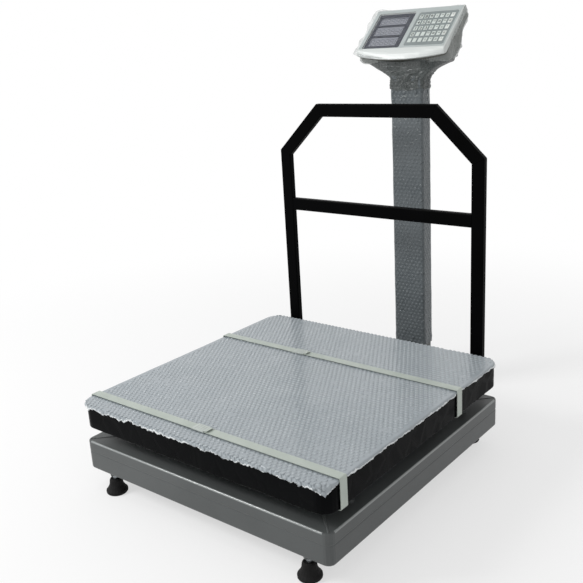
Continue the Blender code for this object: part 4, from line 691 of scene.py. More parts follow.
@dataclass
class Deck:
    """Black deck frame with its beams and plate, and the two straps round it."""

    tail_length: float = 0.009
    tail_thick: float = 0.0008
    tail_inset: float = 0.0012  # how much narrower than its strap, at each side
    tail_curl: float = 0.0022   # how far its end stands up
    tail_steps: int = 10
    crimp_length: float = 0.0022
    crimp_rise: float = 0.0012
    crimp_reach: float = 0.92   # share of the clip's width
    crimps_at: tuple[float, ...] = (-0.3, -0.1, 0.1, 0.3)   # shares of the clip's length

    def build(self) -> None:
        """Dress the deck, and add the straps' free ends and the clips' crimps."""
        dress(BLACK_ENAMEL, "deck_frame", "deck_beam")
        dress(DECK_STEEL, "deck_plate")
        dress(ZINC, "cell_spacer_upper")
        dress(CLIP_COAT, "strap_clip_front", "strap_clip_rear")
        dress(STRAPPING, "strap_front", "strap_rear")
        for place in ("front", "rear"):
            self.tail(place)
        self.crimps()

    def tail(self, place: str) -> None:
        """Add the free end of a strap, which sticks out of its clip and curls up a little.

        Args:
            place: front or rear.
        """
        low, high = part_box("strap_" + place)
        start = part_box("strap_clip_" + place)[1].x - 0.001
        front, back = low.y + self.tail_inset, high.y - self.tail_inset
        points = []
        for i in range(self.tail_steps + 1):
            share = i / self.tail_steps
            x = start + self.tail_length * share
            z = high.z + SKIN_GAP + self.tail_curl * share * share
            points += [Vector((x, front, z)), Vector((x, back, z)),
                       Vector((x, back, z + self.tail_thick)), Vector((x, front, z + self.tail_thick))]
        count = len(points)
        faces = [(4 * r + c, 4 * r + (c + 1) % 4, 4 * r + 4 + (c + 1) % 4, 4 * r + 4 + c)
                 for r in range(self.tail_steps) for c in range(4)]
        faces += [(3, 2, 1, 0), tuple(range(count - 4, count))]
        tail = mesh_piece("strap_tail_" + place, points, faces, smooth=False)
        settle(tail, "deck", STRAPPING)

    def crimps(self) -> None:
        """Press crimp ridges across both clips."""
        spots = []
        for place in ("front", "rear"):
            low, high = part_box("strap_clip_" + place)
            middle = (low + high) / 2
            spots += [Spot(Vector((middle.x + step * (high.x - low.x), middle.y, high.z)))
                      for step in self.crimps_at]
        width = (high.y - low.y) * self.crimp_reach
        ridge = Repeat(Stamp.RIPPLE, self.crimp_length, width, self.crimp_rise)
        ridge.make("clip_crimps", spots, CLIP_COAT, "deck")


@dataclass
class DeckFilm:
    """Bubble film draped over the deck, with hanging edges and a ragged front."""

    pitch: float = 0.010
    bubble: float = 0.0090
    bubble_rise: float = 0.0009
    skirt: float = 0.0012       # film to deck at the sides
    lift: float = 0.0007        # and over the plate
    corner: float = 0.0292
    bend: float = 0.0016
    front_hang: float = 0.0112
    side_hang: float = 0.0052
    back_hang: float = 0.0050
    swell: float = 0.00034      # height of the sheet's slow waves
    fine_step: float = 0.0016
    broad_step: float = 0.0052
    fine_band: float = 0.008    # how far the fine steps go in from an edge
    near_corner: float = 0.85   # share of the hang that is left at the corner in front at the right
    far_corner: float = 0.42    # and at the other three
    rag_mean: float = 0.62      # and along the edges
    # Height, size and seed of each noise by which the edges stray.
    rags: tuple[tuple[float, float, float], ...] = ((0.50, 0.034, 1.7), (0.42, 0.009, 5.1),
                                                    (0.25, 0.004, 8.3))
    rag_least: float = 0.12
    notch_x: float = -0.152
    notch_width: float = 0.012
    notch_depth: float = 0.85
    front_flutter: float = 0.0016
    side_flutter: float = 0.0008
    strap_reach: float = 0.016  # the film lies flat so far from a strap's middle
    rim_step: float = 0.0021
    rim_end: float = 0.010      # bare length at each end of a rim
    rim_reach: float = 0.013    # no specks so near to a strap's middle
    speck: tuple[float, float] = (0.0040, 0.0030)   # length and height
    # A speck's share of full size: the least, the mean, how far it strays, and the most.
    curls: tuple[float, float, float, float] = (0.28, 0.86, 1.10, 1.25)
    side_margin: float = 0.009  # plain strip at each side

    def __post_init__(self) -> None:
        """Read the deck's outline from the frame, and lay the grid."""
        low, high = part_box("deck_frame")
        self.half_x = (high.x - low.x) / 2 + self.skirt
        self.half_y = (high.y - low.y) / 2 + self.skirt
        self.middle_y = (high.y + low.y) / 2
        self.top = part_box("deck_plate")[1].z + self.lift
        self.strap_rows = [sum(c.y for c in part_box("strap_" + end)) / 2 for end in ("front", "rear")]
        self.columns = self.lines(self.half_x, self.side_hang, self.side_hang)
        self.rows = self.lines(self.half_y, self.front_hang, self.back_hang)

    def rag(self, way: Vector, u: float) -> float:
        """Share of the hang that is left where the edge is torn.

        Args:
            way: outward direction of the edge.
            u: place across the deck.

        Returns:
            Factor of the hang.
        """
        if abs(way.x) > 0.25 and abs(way.y) > 0.25:
            return self.near_corner if way.x > 0 > way.y else self.far_corner
        ragged = self.rag_mean
        for height, size, seed in self.rags:
            ragged += height * smooth_noise((u, way.x, way.y), size, seed)
        if way.y < -0.5:
            ragged *= 1 - self.notch_depth * math.exp(-((u - self.notch_x) / self.notch_width) ** 2)
        return max(ragged, self.rag_least)

    def lay(self, u: float, v: float) -> Vector:
        """Place of a point of the flat sheet once it is draped.

        Args:
            u: across the sheet.
            v: along the sheet, from the platform's middle.

        Returns:
            The place in the frame.
        """
        over_x = abs(u) - (self.half_x - self.corner)
        over_y = abs(v) - (self.half_y - self.corner)
        if over_x > 0 and over_y > 0:
            over = math.hypot(over_x, over_y)
            way = Vector((math.copysign(over_x, u), math.copysign(over_y, v), 0)).normalized()
        elif over_x > over_y:
            over, way = over_x, Vector((math.copysign(1.0, u), 0, 0))
        else:
            over, way = over_y, Vector((0, math.copysign(1.0, v), 0))
        reach = over - (self.corner - self.bend)
        wave = smooth_noise((u, v), 0.055, 0.3) + 0.4 * smooth_noise((u, v), 0.019, 2.3)
        spot = Vector((u, v + self.middle_y, self.top + self.swell * (1 + wave)))
        if reach <= 0:
            return spot
        along = v if abs(way.x) > 0.7 else u
        turn = min(reach / self.bend, math.pi / 2)
        hang = max(reach - self.bend * math.pi / 2, 0.0) * self.rag(way, along)
        out = self.bend * math.sin(turn)
        flutter = self.front_flutter if way.y < -0.5 else self.side_flutter
        held = min(abs(spot.y - row) for row in self.strap_rows)
        if held < self.strap_reach and abs(way.x) > 0.5:
            flutter = 0.0
        out += flutter * min(hang / 0.004, 1.0) * (0.55 + smooth_noise((along, hang), 0.013, 4.4))
        spot -= way * (reach - out)
        spot.z -= self.bend * (1 - math.cos(turn)) + hang
        return spot

    def normal(self, u: float, v: float) -> Vector:
        """Find the outward direction of the draped sheet.

        Args:
            u: across the sheet.
            v: along the sheet.

        Returns:
            The direction, one unit long.
        """
        step = 0.0008
        across = self.lay(u + step, v) - self.lay(u - step, v)
        along = self.lay(u, v + step) - self.lay(u, v - step)
        upright = across.cross(along)
        return upright.normalized() if upright.length > 0 else Vector((0, 0, 1))

    def lines(self, half: float, low_hang: float, high_hang: float) -> list[float]:
        """Space the grid's lines, close together near the sheet's edges.

        Args:
            half: half of the covered width.
            low_hang: hang at the low edge.
            high_hang: hang at the high edge.

        Returns:
            The lines' places.
        """
        low_edge = np.arange(-half - low_hang, -half + self.fine_band, self.fine_step)
        high_edge = np.arange(half + high_hang, half - self.fine_band, -self.fine_step)[::-1]
        count = round((high_edge[0] - low_edge[-1]) / self.broad_step)
        middle = np.linspace(low_edge[-1], high_edge[0], count + 1)[1:-1]
        return [float(x) for x in np.concatenate([low_edge, middle, high_edge])]

    def build(self) -> None:
        """Make the sheet, its bubbles and its torn rim."""
        columns, rows = self.columns, self.rows
        sheet = grid_piece("deck_film_sheet", [[self.lay(u, v) for u in columns] for v in rows])
        settle(sheet, "deck", DECK_FILM)
        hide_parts("deck_film")
        bubbles = self.bubbles()
        rim = self.rim()

    def rim(self) -> bpy.types.Object:
        """Set the torn rim's curled specks along the front and the right edge, painted near white as
        highlights.

        Returns:
            The piece of all specks.
        """
        left, right, front, back = self.columns[0], self.columns[-1], self.rows[0], self.rows[-1]
        step, end = self.rim_step, self.rim_end
        places = [(left + end + step * i, front) for i in range(int((right - left - 2 * end) / step))]
        places += [(right, front + end + step * i) for i in range(int((back - front - 2 * end) / step))]
        spots = []
        for u, v in places:
            at = self.lay(u, v)
            if u == right and min(abs(at.y - line) for line in self.strap_rows) < self.rim_reach:
                continue
            ahead = self.lay(u + step, v) if v == front else self.lay(u, v + step)
            low, mean, stray, high = self.curls
            curl = min(max(mean + stray * smooth_noise((u, v), 0.021, 6.6), low), high)
            spots.append(Spot(at, self.normal(u, v), (ahead - at).normalized(), curl))
        specks = Repeat(Stamp.RIPPLE, 1.7 * step, *self.speck, 0.45, 31)
        return specks.make("deck_film_rim", spots, FILM_RIM, "deck")

    def bubbles(self) -> bpy.types.Object:
        """Set the bubbles in rows across the sheet, each row shifted by half a pitch.

        Returns:
            The piece of all bubbles.
        """
        left, right, front, back = self.columns[0], self.columns[-1], self.rows[0], self.rows[-1]
        row_pitch = self.pitch * math.sqrt(3) / 2
        margin = self.bubble * 0.55
        spots = []
        for row in range(int((back - front - 2 * margin) / row_pitch) + 1):
            v = front + margin + row * row_pitch
            shift = margin + (row % 2) * self.pitch / 2
            for column in range(int((right - left - margin - shift) / self.pitch) + 1):
                u = left + shift + column * self.pitch
                lean = self.normal(u, v)
                if abs(u) > self.half_x - self.side_margin and lean.y > -0.5:
                    continue
                burst = smooth_noise((u * 7, v * 7), 0.05, 9.2) > 0.52
                spots.append(Spot(self.lay(u, v) - lean * BUBBLE_SINK, lean, share=0.5 if burst else 1.0))
        domes = Repeat(Stamp.BUBBLE, self.bubble, self.bubble, self.bubble_rise, 0.12, 11)
        # The crowns' brighter tone is a painted highlight.
        return domes.make("deck_film_bubbles", spots, FILM_CROWN, "deck")


# Rail


@dataclass
class Rail:
    """Black tube rail, welded at its corners and at the middle bar."""

    bead: float = 0.0026
    bead_rise: float = 0.0010
    bead_inset: float = 0.06    # share of a seam left bare at each end
    bar_inset: float = 0.002    # and of the middle bar's seams, in metres

    def build(self) -> None:
        """Dress the rail and lay its welds."""
        tubes = ("post_left", "post_right", "corner_left", "corner_right", "top_bar", "middle_bar")
        dress(POWDER_COAT, *["rail_" + name for name in tubes])
        dress(ZINC, *["rail_screw_%d" % n for n in range(1, 5)])
        post, bar, middle = (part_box("rail_" + name) for name in ("post_right", "top_bar", "middle_bar"))
        faces = ((bar[0].y, Vector((0, -1, 0))), (post[1].y, Vector((0, 1, 0))))
        tube = bar[1].z - bar[0].z
        shoulder = Vector((post[1].x, 0, post[1].z))
        peak = Vector((bar[1].x, 0, bar[1].z))
        slant = (peak - shoulder).normalized()
        slant_in = Vector((-slant.z, 0, slant.x))
        spots = []
        for corner, before, after in ((shoulder, Vector((-1, 0, 0)), slant_in),
                                      (peak, slant_in, Vector((0, 0, -1)))):
            inner = corner + (before + after) * tube / (1 + before.dot(after))
            for side in (-1, 1):
                for y, lean in faces:
                    a = Vector((side * corner.x, y, corner.z))
                    b = Vector((side * inner.x, y, inner.z))
                    spots += bead_line(a.lerp(b, self.bead_inset), a.lerp(b, 1 - self.bead_inset), lean)
        for side in (-1, 1):
            x = side * (middle[1].x + SKIN_GAP / 2)
            for y, lean in faces:
                spots += bead_line(Vector((x, y, middle[0].z + self.bar_inset)),
                                   Vector((x, y, middle[1].z - self.bar_inset)), lean)
        beads = Repeat(Stamp.RIPPLE, self.bead, self.bead, self.bead_rise, 0.15, 5)
        beads.make("rail_weld_beads", spots, POWDER_COAT, "deck")


# Pole


@dataclass
class Pole:
    """Grey pole with its plug and yoke, wound in bubble film that opens out under the head."""

    pitch: float = 0.010
    bubble: float = 0.0088
    bubble_rise: float = 0.0006
    off: float = 0.0009         # film to pole
    overlap: float = 0.07       # share of a turn that the film laps over itself
    flare_start: float = 0.052  # below the film's top
    flare_x: float = 0.004      # how far its top stands out at each side
    flare_y: float = 0.003      # and in front and behind
    flare_corner: float = 0.008     # how much rounder its corners are there
    top_cut: float = 0.012      # the film ends so far below the room that it has
    top_rag: float = 0.004      # how far its upper edge strays
    crease_count: int = 110
    crease: tuple[float, float, float] = (0.0130, 0.0009, 0.0007)   # length, width and height
    crease_lift: float = 0.0006
    crease_slope: float = 0.9
    crease_least: float = 0.35  # share of the smallest
    # How far the creases reach from the film's top and from its foot, and how much they crowd there.
    top_creases: tuple[float, float] = (0.16, 1.6)
    foot_creases: tuple[float, float] = (0.09, 2.0)
    crease_free: float = 0.045  # no crease so near to the top
    skin: float = 0.0005        # how far the plain film stands off
    fold: float = 0.0003        # height of its folds, and as much more near its ends
    end_fold: float = 0.0010
    wave: float = 0.0003
    lap: float = 0.0008         # how far the overlap stands off the turn under it
    slack_low: float = 0.0032   # how much looser the film is wound at its foot
    slack_high: float = 0.0024  # and at its top
    corner: float = 0.0035
    columns: int = 92
    rows: int = 150

    def __post_init__(self) -> None:
        """Read the pole's outline from the frame."""
        low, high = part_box("pole_tube")
        film_low, film_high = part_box("pole_film")
        self.middle_y = (low.y + high.y) / 2
        self.half_x = high.x + self.off
        self.half_y = (high.y - low.y) / 2 + self.off
        self.low, self.high = film_low.z + 0.0005, film_high.z - self.top_cut
        self.girth = 4 * (self.half_x + self.half_y + self.slack_low + self.slack_high)

    def lay(self, turn: float, z: float) -> Vector:
        """Place of a point of the wound film.

        Args:
            turn: share of a turn round the pole, from the middle of its back.
            z: height.

        Returns:
            The place in the frame.
        """
        open_up = max(0.0, (z - self.high + self.flare_start) / self.flare_start) ** 1.7
        depth = min(1.0, max(0.0, (self.high - z) / (self.high - self.low)))
        slack = self.slack_high + (self.slack_low - self.slack_high) * depth
        half_x = self.half_x + slack + self.flare_x * open_up
        half_y = self.half_y + slack + self.flare_y * open_up
        corner = self.corner + self.flare_corner * open_up
        flat_x, flat_y = 2 * (half_x - corner), 2 * (half_y - corner)
        quarter = corner * math.pi / 2
        around = 2 * flat_x + 2 * flat_y + 4 * quarter
        run = (turn % 1.0) * around + flat_x / 2
        heading = Vector((1, 0, 0))
        place = Vector((-flat_x / 2, half_y, 0))
        for number, length in enumerate((flat_x, quarter, flat_y, quarter) * 2 + (flat_x,)):
            step = min(run, length)
            if number % 2:
                right = Vector((heading.y, -heading.x, 0))
                angle = step / corner
                place = place + right * corner * (1 - math.cos(angle)) + heading * corner * math.sin(angle)
                heading = heading * math.cos(angle) + right * math.sin(angle)
            else:
                place = place + heading * step
            run -= step
            if run <= 1e-9:
                break
        out = Vector((-heading.y, heading.x, 0))
        crease = fold_noise((turn * around, z * 0.8), 0.030, 3.3) ** 3
        wave = smooth_noise((turn * around, z), 0.045, 6.1)
        ends = min(1.0, max(0.0, (z - self.high + 0.12) / 0.06)) + max(0.0, 1 - (z - self.low) / 0.04)
        loose = self.skin + (self.fold + self.end_fold * ends) * crease + self.wave * wave
        loose += self.lap if turn > 1.0 else 0.0
        return Vector((place.x, place.y + self.middle_y, z)) + out * loose

    def build(self) -> None:
        """Dress the pole, and make the film and its bubbles."""
        dress(GREY_ENAMEL, "pole_tube", "head_yoke")
        dress(NYLON, "pole_plug")
        turns = [(1 + self.overlap) * c / self.columns for c in range(self.columns + 1)]
        ragged = [self.top_rag * smooth_noise((turn * 0.2, 0), 0.02, 8.8) for turn in turns]
        grid = []
        for r in range(self.rows + 1):
            share = r / self.rows
            grid.append([self.lay(turn, self.low + share * (self.high - self.low) + edge * share ** 12)
                         for turn, edge in zip(turns, ragged)][::-1])
        film = grid_piece("pole_film_wrap", grid)
        settle(film, "base", POLE_FILM)
        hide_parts("pole_film")
        self.bubbles()
        self.creases()

    def creases(self) -> bpy.types.Object:
        """Lay bright folds on the film, many near its top and some near its foot.

        Returns:
            The piece of all folds.
        """
        chance = np.random.default_rng(7)
        spots = []
        for number in range(self.crease_count):
            reach, crowd = self.top_creases if number % 4 else self.foot_creases
            away = reach * chance.random() ** crowd
            z = min(self.high - away if number % 4 else self.low + away, self.high - self.crease_free)
            turn = chance.random()
            across = (self.lay(turn + 0.005, z) - self.lay(turn - 0.005, z)).normalized()
            lean = Vector((0, 0, 1)).cross(across).normalized()
            slope = chance.uniform(-self.crease_slope, self.crease_slope)
            heading = (across + Vector((0, 0, slope))).normalized()
            at = self.lay(turn, z) + lean * self.crease_lift
            spots.append(Spot(at, lean, heading, chance.uniform(self.crease_least, 1.0)))
        folds = Repeat(Stamp.RIPPLE, *self.crease, 0.2, 41)
        return folds.make("pole_film_creases", spots, FRINGE_FILM, "base")

    def bubbles(self) -> bpy.types.Object:
        """Set the bubbles in rings round the pole, apart from its corners.

        Returns:
            The piece of all bubbles.
        """
        count = round(self.girth / self.pitch)
        row_pitch = self.pitch * math.sqrt(3) / 2
        spots = []
        for row in range(int((self.high - self.low - 0.010) / row_pitch)):
            z = self.low + 0.006 + row * row_pitch
            for column in range(count):
                turn = (column + 0.5 * (row % 2)) / count
                across = self.lay(turn + 0.01, z) - self.lay(turn - 0.01, z)
                rise = self.lay(turn, z + 0.001) - self.lay(turn, z - 0.001)
                lean = rise.cross(across).normalized()
                if max(abs(lean.x), abs(lean.y)) > 0.97:
                    spots.append(Spot(self.lay(turn, z) - lean * BUBBLE_SINK, lean, Vector((0, 0, 1))))
        domes = Repeat(Stamp.BUBBLE, self.bubble, self.bubble, self.bubble_rise, 0.2, 23)
        # The crowns' brighter tone is a painted highlight.
        return domes.make("pole_film_bubbles", spots, POLE_CROWN, "base")


# Head


@dataclass
class Head:
    """Indicator head: case, window, displays and keypad."""

    tilt: float = math.radians(41.5)
    edge_along: float = -0.0110     # the face's lower edge, along the face from the tilt axis
    face_out: float = 0.0623        # the face, square to it from the tilt axis
    key_columns: int = 7
    key_rows: int = 5
    key_pitch_x: float = 0.0128
    key_pitch_y: float = 0.0180
    key_width: float = 0.0088
    key_height: float = 0.0118
    key_rise: float = 0.0006
    stroke: tuple[float, float] = (0.0056, 0.0016)      # length and width of a key's stroke
    stroke_step: float = 0.0032
    print_thick: float = 0.00012
    face_length: float = 0.130
    overlay_inset: float = 0.0034   # from the face's own edges
    overlay_low: float = 0.0016     # below the window
    overlay_gap: float = 0.0006     # round the window and the keypad
    mask_inset: float = 0.0022      # from the window's edge
    mask_sides: tuple[float, float] = (0.0030, 0.0085)  # over the displays' left and right ends
    mask_rim: float = 0.0004    # over the displays' lower and upper edges
    mask_top: float = 0.0035    # and how much more over the topmost
    mark_height: float = 0.0088
    digits: int = 6
    digit_height: float = 0.0150
    digit_pitch: float = 0.0125
    digit_side: float = 0.27    # half of a digit's width, as a share of its height
    segment: float = 0.0012
    glass: float = 0.00095      # the segments lie so far under the display's top

    def __post_init__(self) -> None:
        """Read the tilt axis from the frame's joints, and turn the face's directions."""
        joint = next(j for j in frame["joints"] if j["name"] == "head_tilt")
        self.axis = Vector(joint["pos_m"])
        self.turned = Matrix.Rotation(self.tilt, 3, "X")
        self.across, self.up, self.lean = (self.turned @ Vector(way)
                                           for way in ((1, 0, 0), (0, 1, 0), (0, 0, 1)))

    def point(self, x: float, along: float, out: float) -> Vector:
        """Place of a point of the head.

        Args:
            x: across the face.
            along: up the face from the tilt axis.
            out: out of the face, with 0 on the face.

        Returns:
            The place in the frame.
        """
        return self.axis + self.turned @ Vector((x, along, self.face_out + out))

    def local_box(self, node: str) -> tuple[Vector, Vector]:
        """Find the corners of a node in the head's own axes, with 0 on the face.

        Args:
            node: the node's name.

        Returns:
            Its lowest and its highest corner.
        """
        back = self.turned.inverted()
        places = [back @ (v.co - self.axis) for v in frame["nodes"][node].data.vertices]
        low = Vector([min(p[i] for p in places) for i in range(3)])
        high = Vector([max(p[i] for p in places) for i in range(3)])
        shift = Vector((0, 0, self.face_out))
        return low - shift, high - shift

    def build(self) -> None:
        """Dress the head and add what is printed on it."""
        dress(SILVER_ABS, "head_front_cover")
        dress(GREY_ABS, "head_rear_shell")
        dress(ACRYLIC, "display_lens")
        dress(CRYSTAL, "display_row_1", "display_row_2", "display_row_3")
        dress(POLYESTER, "keypad_membrane")
        dress(BOARD, "main_board")
        dress(SLEEVE, "battery")
        dress(NYLON, "power_inlet", "switch_body", "switch_rocker", "tilt_knob_left", "tilt_knob_right")
        self.mask()
        self.overlay()
        self.segments()
        self.keys()
        self.marks()

    def layer(self, name: str, panes: Iterable[Sequence[float]], heights: tuple[float, float],
              finish: Finish) -> None:
        """Lay a thin printed layer of rectangles over the face or behind the window.

        Args:
            name: the piece's name.
            panes: left, low, right and high side of each rectangle.
            heights: underside and top of the layer, from the face.
            finish: the layer's finish.
        """
        parts = []
        for left, low, right, high in panes:
            points, faces = block((left, low, heights[0]), (right, high, heights[1]))
            parts.append(([self.point(*p) for p in points], faces))
        settle(mesh_piece(name, *joined(parts), smooth=False), "head", finish)

    def mask(self) -> None:
        """Print the slate mask behind the window, with an opening for each display."""
        low, high = self.local_box("display_lens")
        rows = [self.local_box("display_row_%d" % n) for n in (3, 2, 1)]
        left, right = rows[0][0].x + self.mask_sides[0], rows[0][1].x - self.mask_sides[1]
        bottom, top = low.y + self.mask_inset, high.y - self.mask_inset
        edges = [bottom] + [y for a, b in rows for y in (a.y + self.mask_rim, b.y - self.mask_rim)] + [top]
        edges[-2] -= self.mask_top
        panes = [(low.x + self.mask_inset, bottom, left, top), (right, bottom, high.x - self.mask_inset, top)]
        panes += [(left, start, right, end) for start, end in zip(edges[::2], edges[1::2])]
        out = low.z - 0.0002
        self.layer("window_mask", panes, (out - self.print_thick, out), MASK_INK)

    def overlay(self) -> None:
        """Lay the printed overlay on the face, open at the window and at the keypad."""
        window, pad = self.local_box("display_lens"), self.local_box("keypad_membrane")
        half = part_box("head_front_cover")[1].x - self.overlay_inset
        low = window[0].y - self.overlay_low
        high = self.face_length + self.edge_along - self.overlay_inset
        gap = self.overlay_gap
        columns = [-half, window[0].x - gap, window[1].x + gap, pad[0].x - gap, pad[1].x + gap, half]
        panes = []
        for number, (left, right) in enumerate(zip(columns, columns[1:])):
            hole = {1: window, 3: pad}.get(number)
            spans = [(low, hole[0].y - gap), (hole[1].y + gap, high)] if hole else [(low, high)]
            panes += [(left, start, right, end) for start, end in spans]
        self.layer("face_overlay", panes, (SKIN_GAP / 3, SKIN_GAP), OVERLAY)

    def segments(self) -> None:
        """Lay seven unlit segments for each digit of each display."""
        flat, upright = [], []
        half = self.digit_height / 2
        side = self.digit_height * self.digit_side
        for number in (1, 2, 3):
            low, high = self.local_box("display_row_%d" % number)
            glass = high.z - self.glass
            middle = (low + high) / 2
            for digit in range(self.digits):
                x = middle.x + (digit - (self.digits - 1) / 2) * self.digit_pitch
                flat += [Spot(self.point(x, middle.y + step, glass), self.lean, self.across)
                         for step in (-half, 0.0, half)]
                upright += [Spot(self.point(x + end, middle.y + step, glass), self.lean, self.up)
                            for end in (-side, side) for step in (-half / 2, half / 2)]
        for name, spots, length in (("segments_across", flat, 1.55 * side),
                                    ("segments_upright", upright, 0.80 * half)):
            bar = Repeat(Stamp.BAR, length, self.segment, self.print_thick)
            bar.make(name, spots, SEGMENT, "head")

    def key_place(self, column: int, row: int) -> tuple[float, float]:
        """Find the middle of a key in the head's own axes.

        Args:
            column: the key's column, counted from the left.
            row: its row, counted from below.

        Returns:
            Its places across and along the face.
        """
        low, high = self.local_box("keypad_membrane")
        middle = (low + high) / 2
        return (middle.x + (column - self.key_columns // 2) * self.key_pitch_x,
                middle.y + (row - self.key_rows // 2) * self.key_pitch_y)

    def keys(self) -> None:
        """Print the tops of the keys, the last column in white."""
        spots = []
        for column in range(self.key_columns):
            for row in range(self.key_rows):
                at = self.point(*self.key_place(column, row), self.key_rise + self.print_thick)
                spots.append(Spot(at, self.lean, self.across))
        top = Repeat(Stamp.BAR, self.key_width, self.key_height, self.print_thick)
        for name, some, finish in (("key_tops", spots[:-self.key_rows], KEY_TOP),
                                   ("key_tops_white", spots[-self.key_rows:], KEY_TOP_WHITE)):
            top.make(name, some, finish, "head")

    def marks(self) -> None:
        """Print plain digits on the first three columns, and one or two strokes on the rest."""
        shapes = []
        out = self.key_rise + 2.2 * self.print_thick
        for row, digits in {4: "789", 3: "456", 2: "123", 1: "0"}.items():
            for column, digit in enumerate(digits):
                points, faces = self.glyph(digit)
                x, y = self.key_place(column, row)
                shapes.append(([self.point(x + p.x, y + p.y, out) for p in points], faces))
        settle(mesh_piece("key_digits", *joined(shapes), smooth=False), "head", INK)
        strokes = []
        for column in range(3, self.key_columns):
            for row in range(self.key_rows):
                x, y = self.key_place(column, row)
                for line in range(1 + (column + row) % 2):
                    at = self.point(x, y + 0.0018 - self.stroke_step * line,
                                    self.key_rise + 2 * self.print_thick)
                    share = 0.75 + 0.25 * ((column * 2 + row) % 2)
                    strokes.append(Spot(at, self.lean, self.across, share))
        bar = Repeat(Stamp.BAR, *self.stroke, self.print_thick)
        bar.make("key_strokes", strokes, INK, "head")

    def glyph(self, digit: str) -> tuple[list[Vector], list[tuple[int, ...]]]:
        """Make a flat mesh of one digit, centred.

        Args:
            digit: the digit.

        Returns:
            Its points and faces.
        """
        curve = bpy.data.curves.new("digit", "FONT")
        curve.body = digit
        curve.size = self.mark_height * 1.35
        curve.resolution_u = 3
        curve.offset = 0.00022
        writer = bpy.data.objects.new("digit", curve)
        bpy.context.scene.collection.objects.link(writer)
        graph = bpy.context.evaluated_depsgraph_get()
        mesh = bpy.data.meshes.new_from_object(writer.evaluated_get(graph))
        points = [v.co.copy() for v in mesh.vertices]
        faces = [tuple(p.vertices) for p in mesh.polygons]
        bpy.data.objects.remove(writer)
        middle = Vector([(min(p[i] for p in points) + max(p[i] for p in points)) / 2 for i in range(3)])
        return [p - middle for p in points], faces


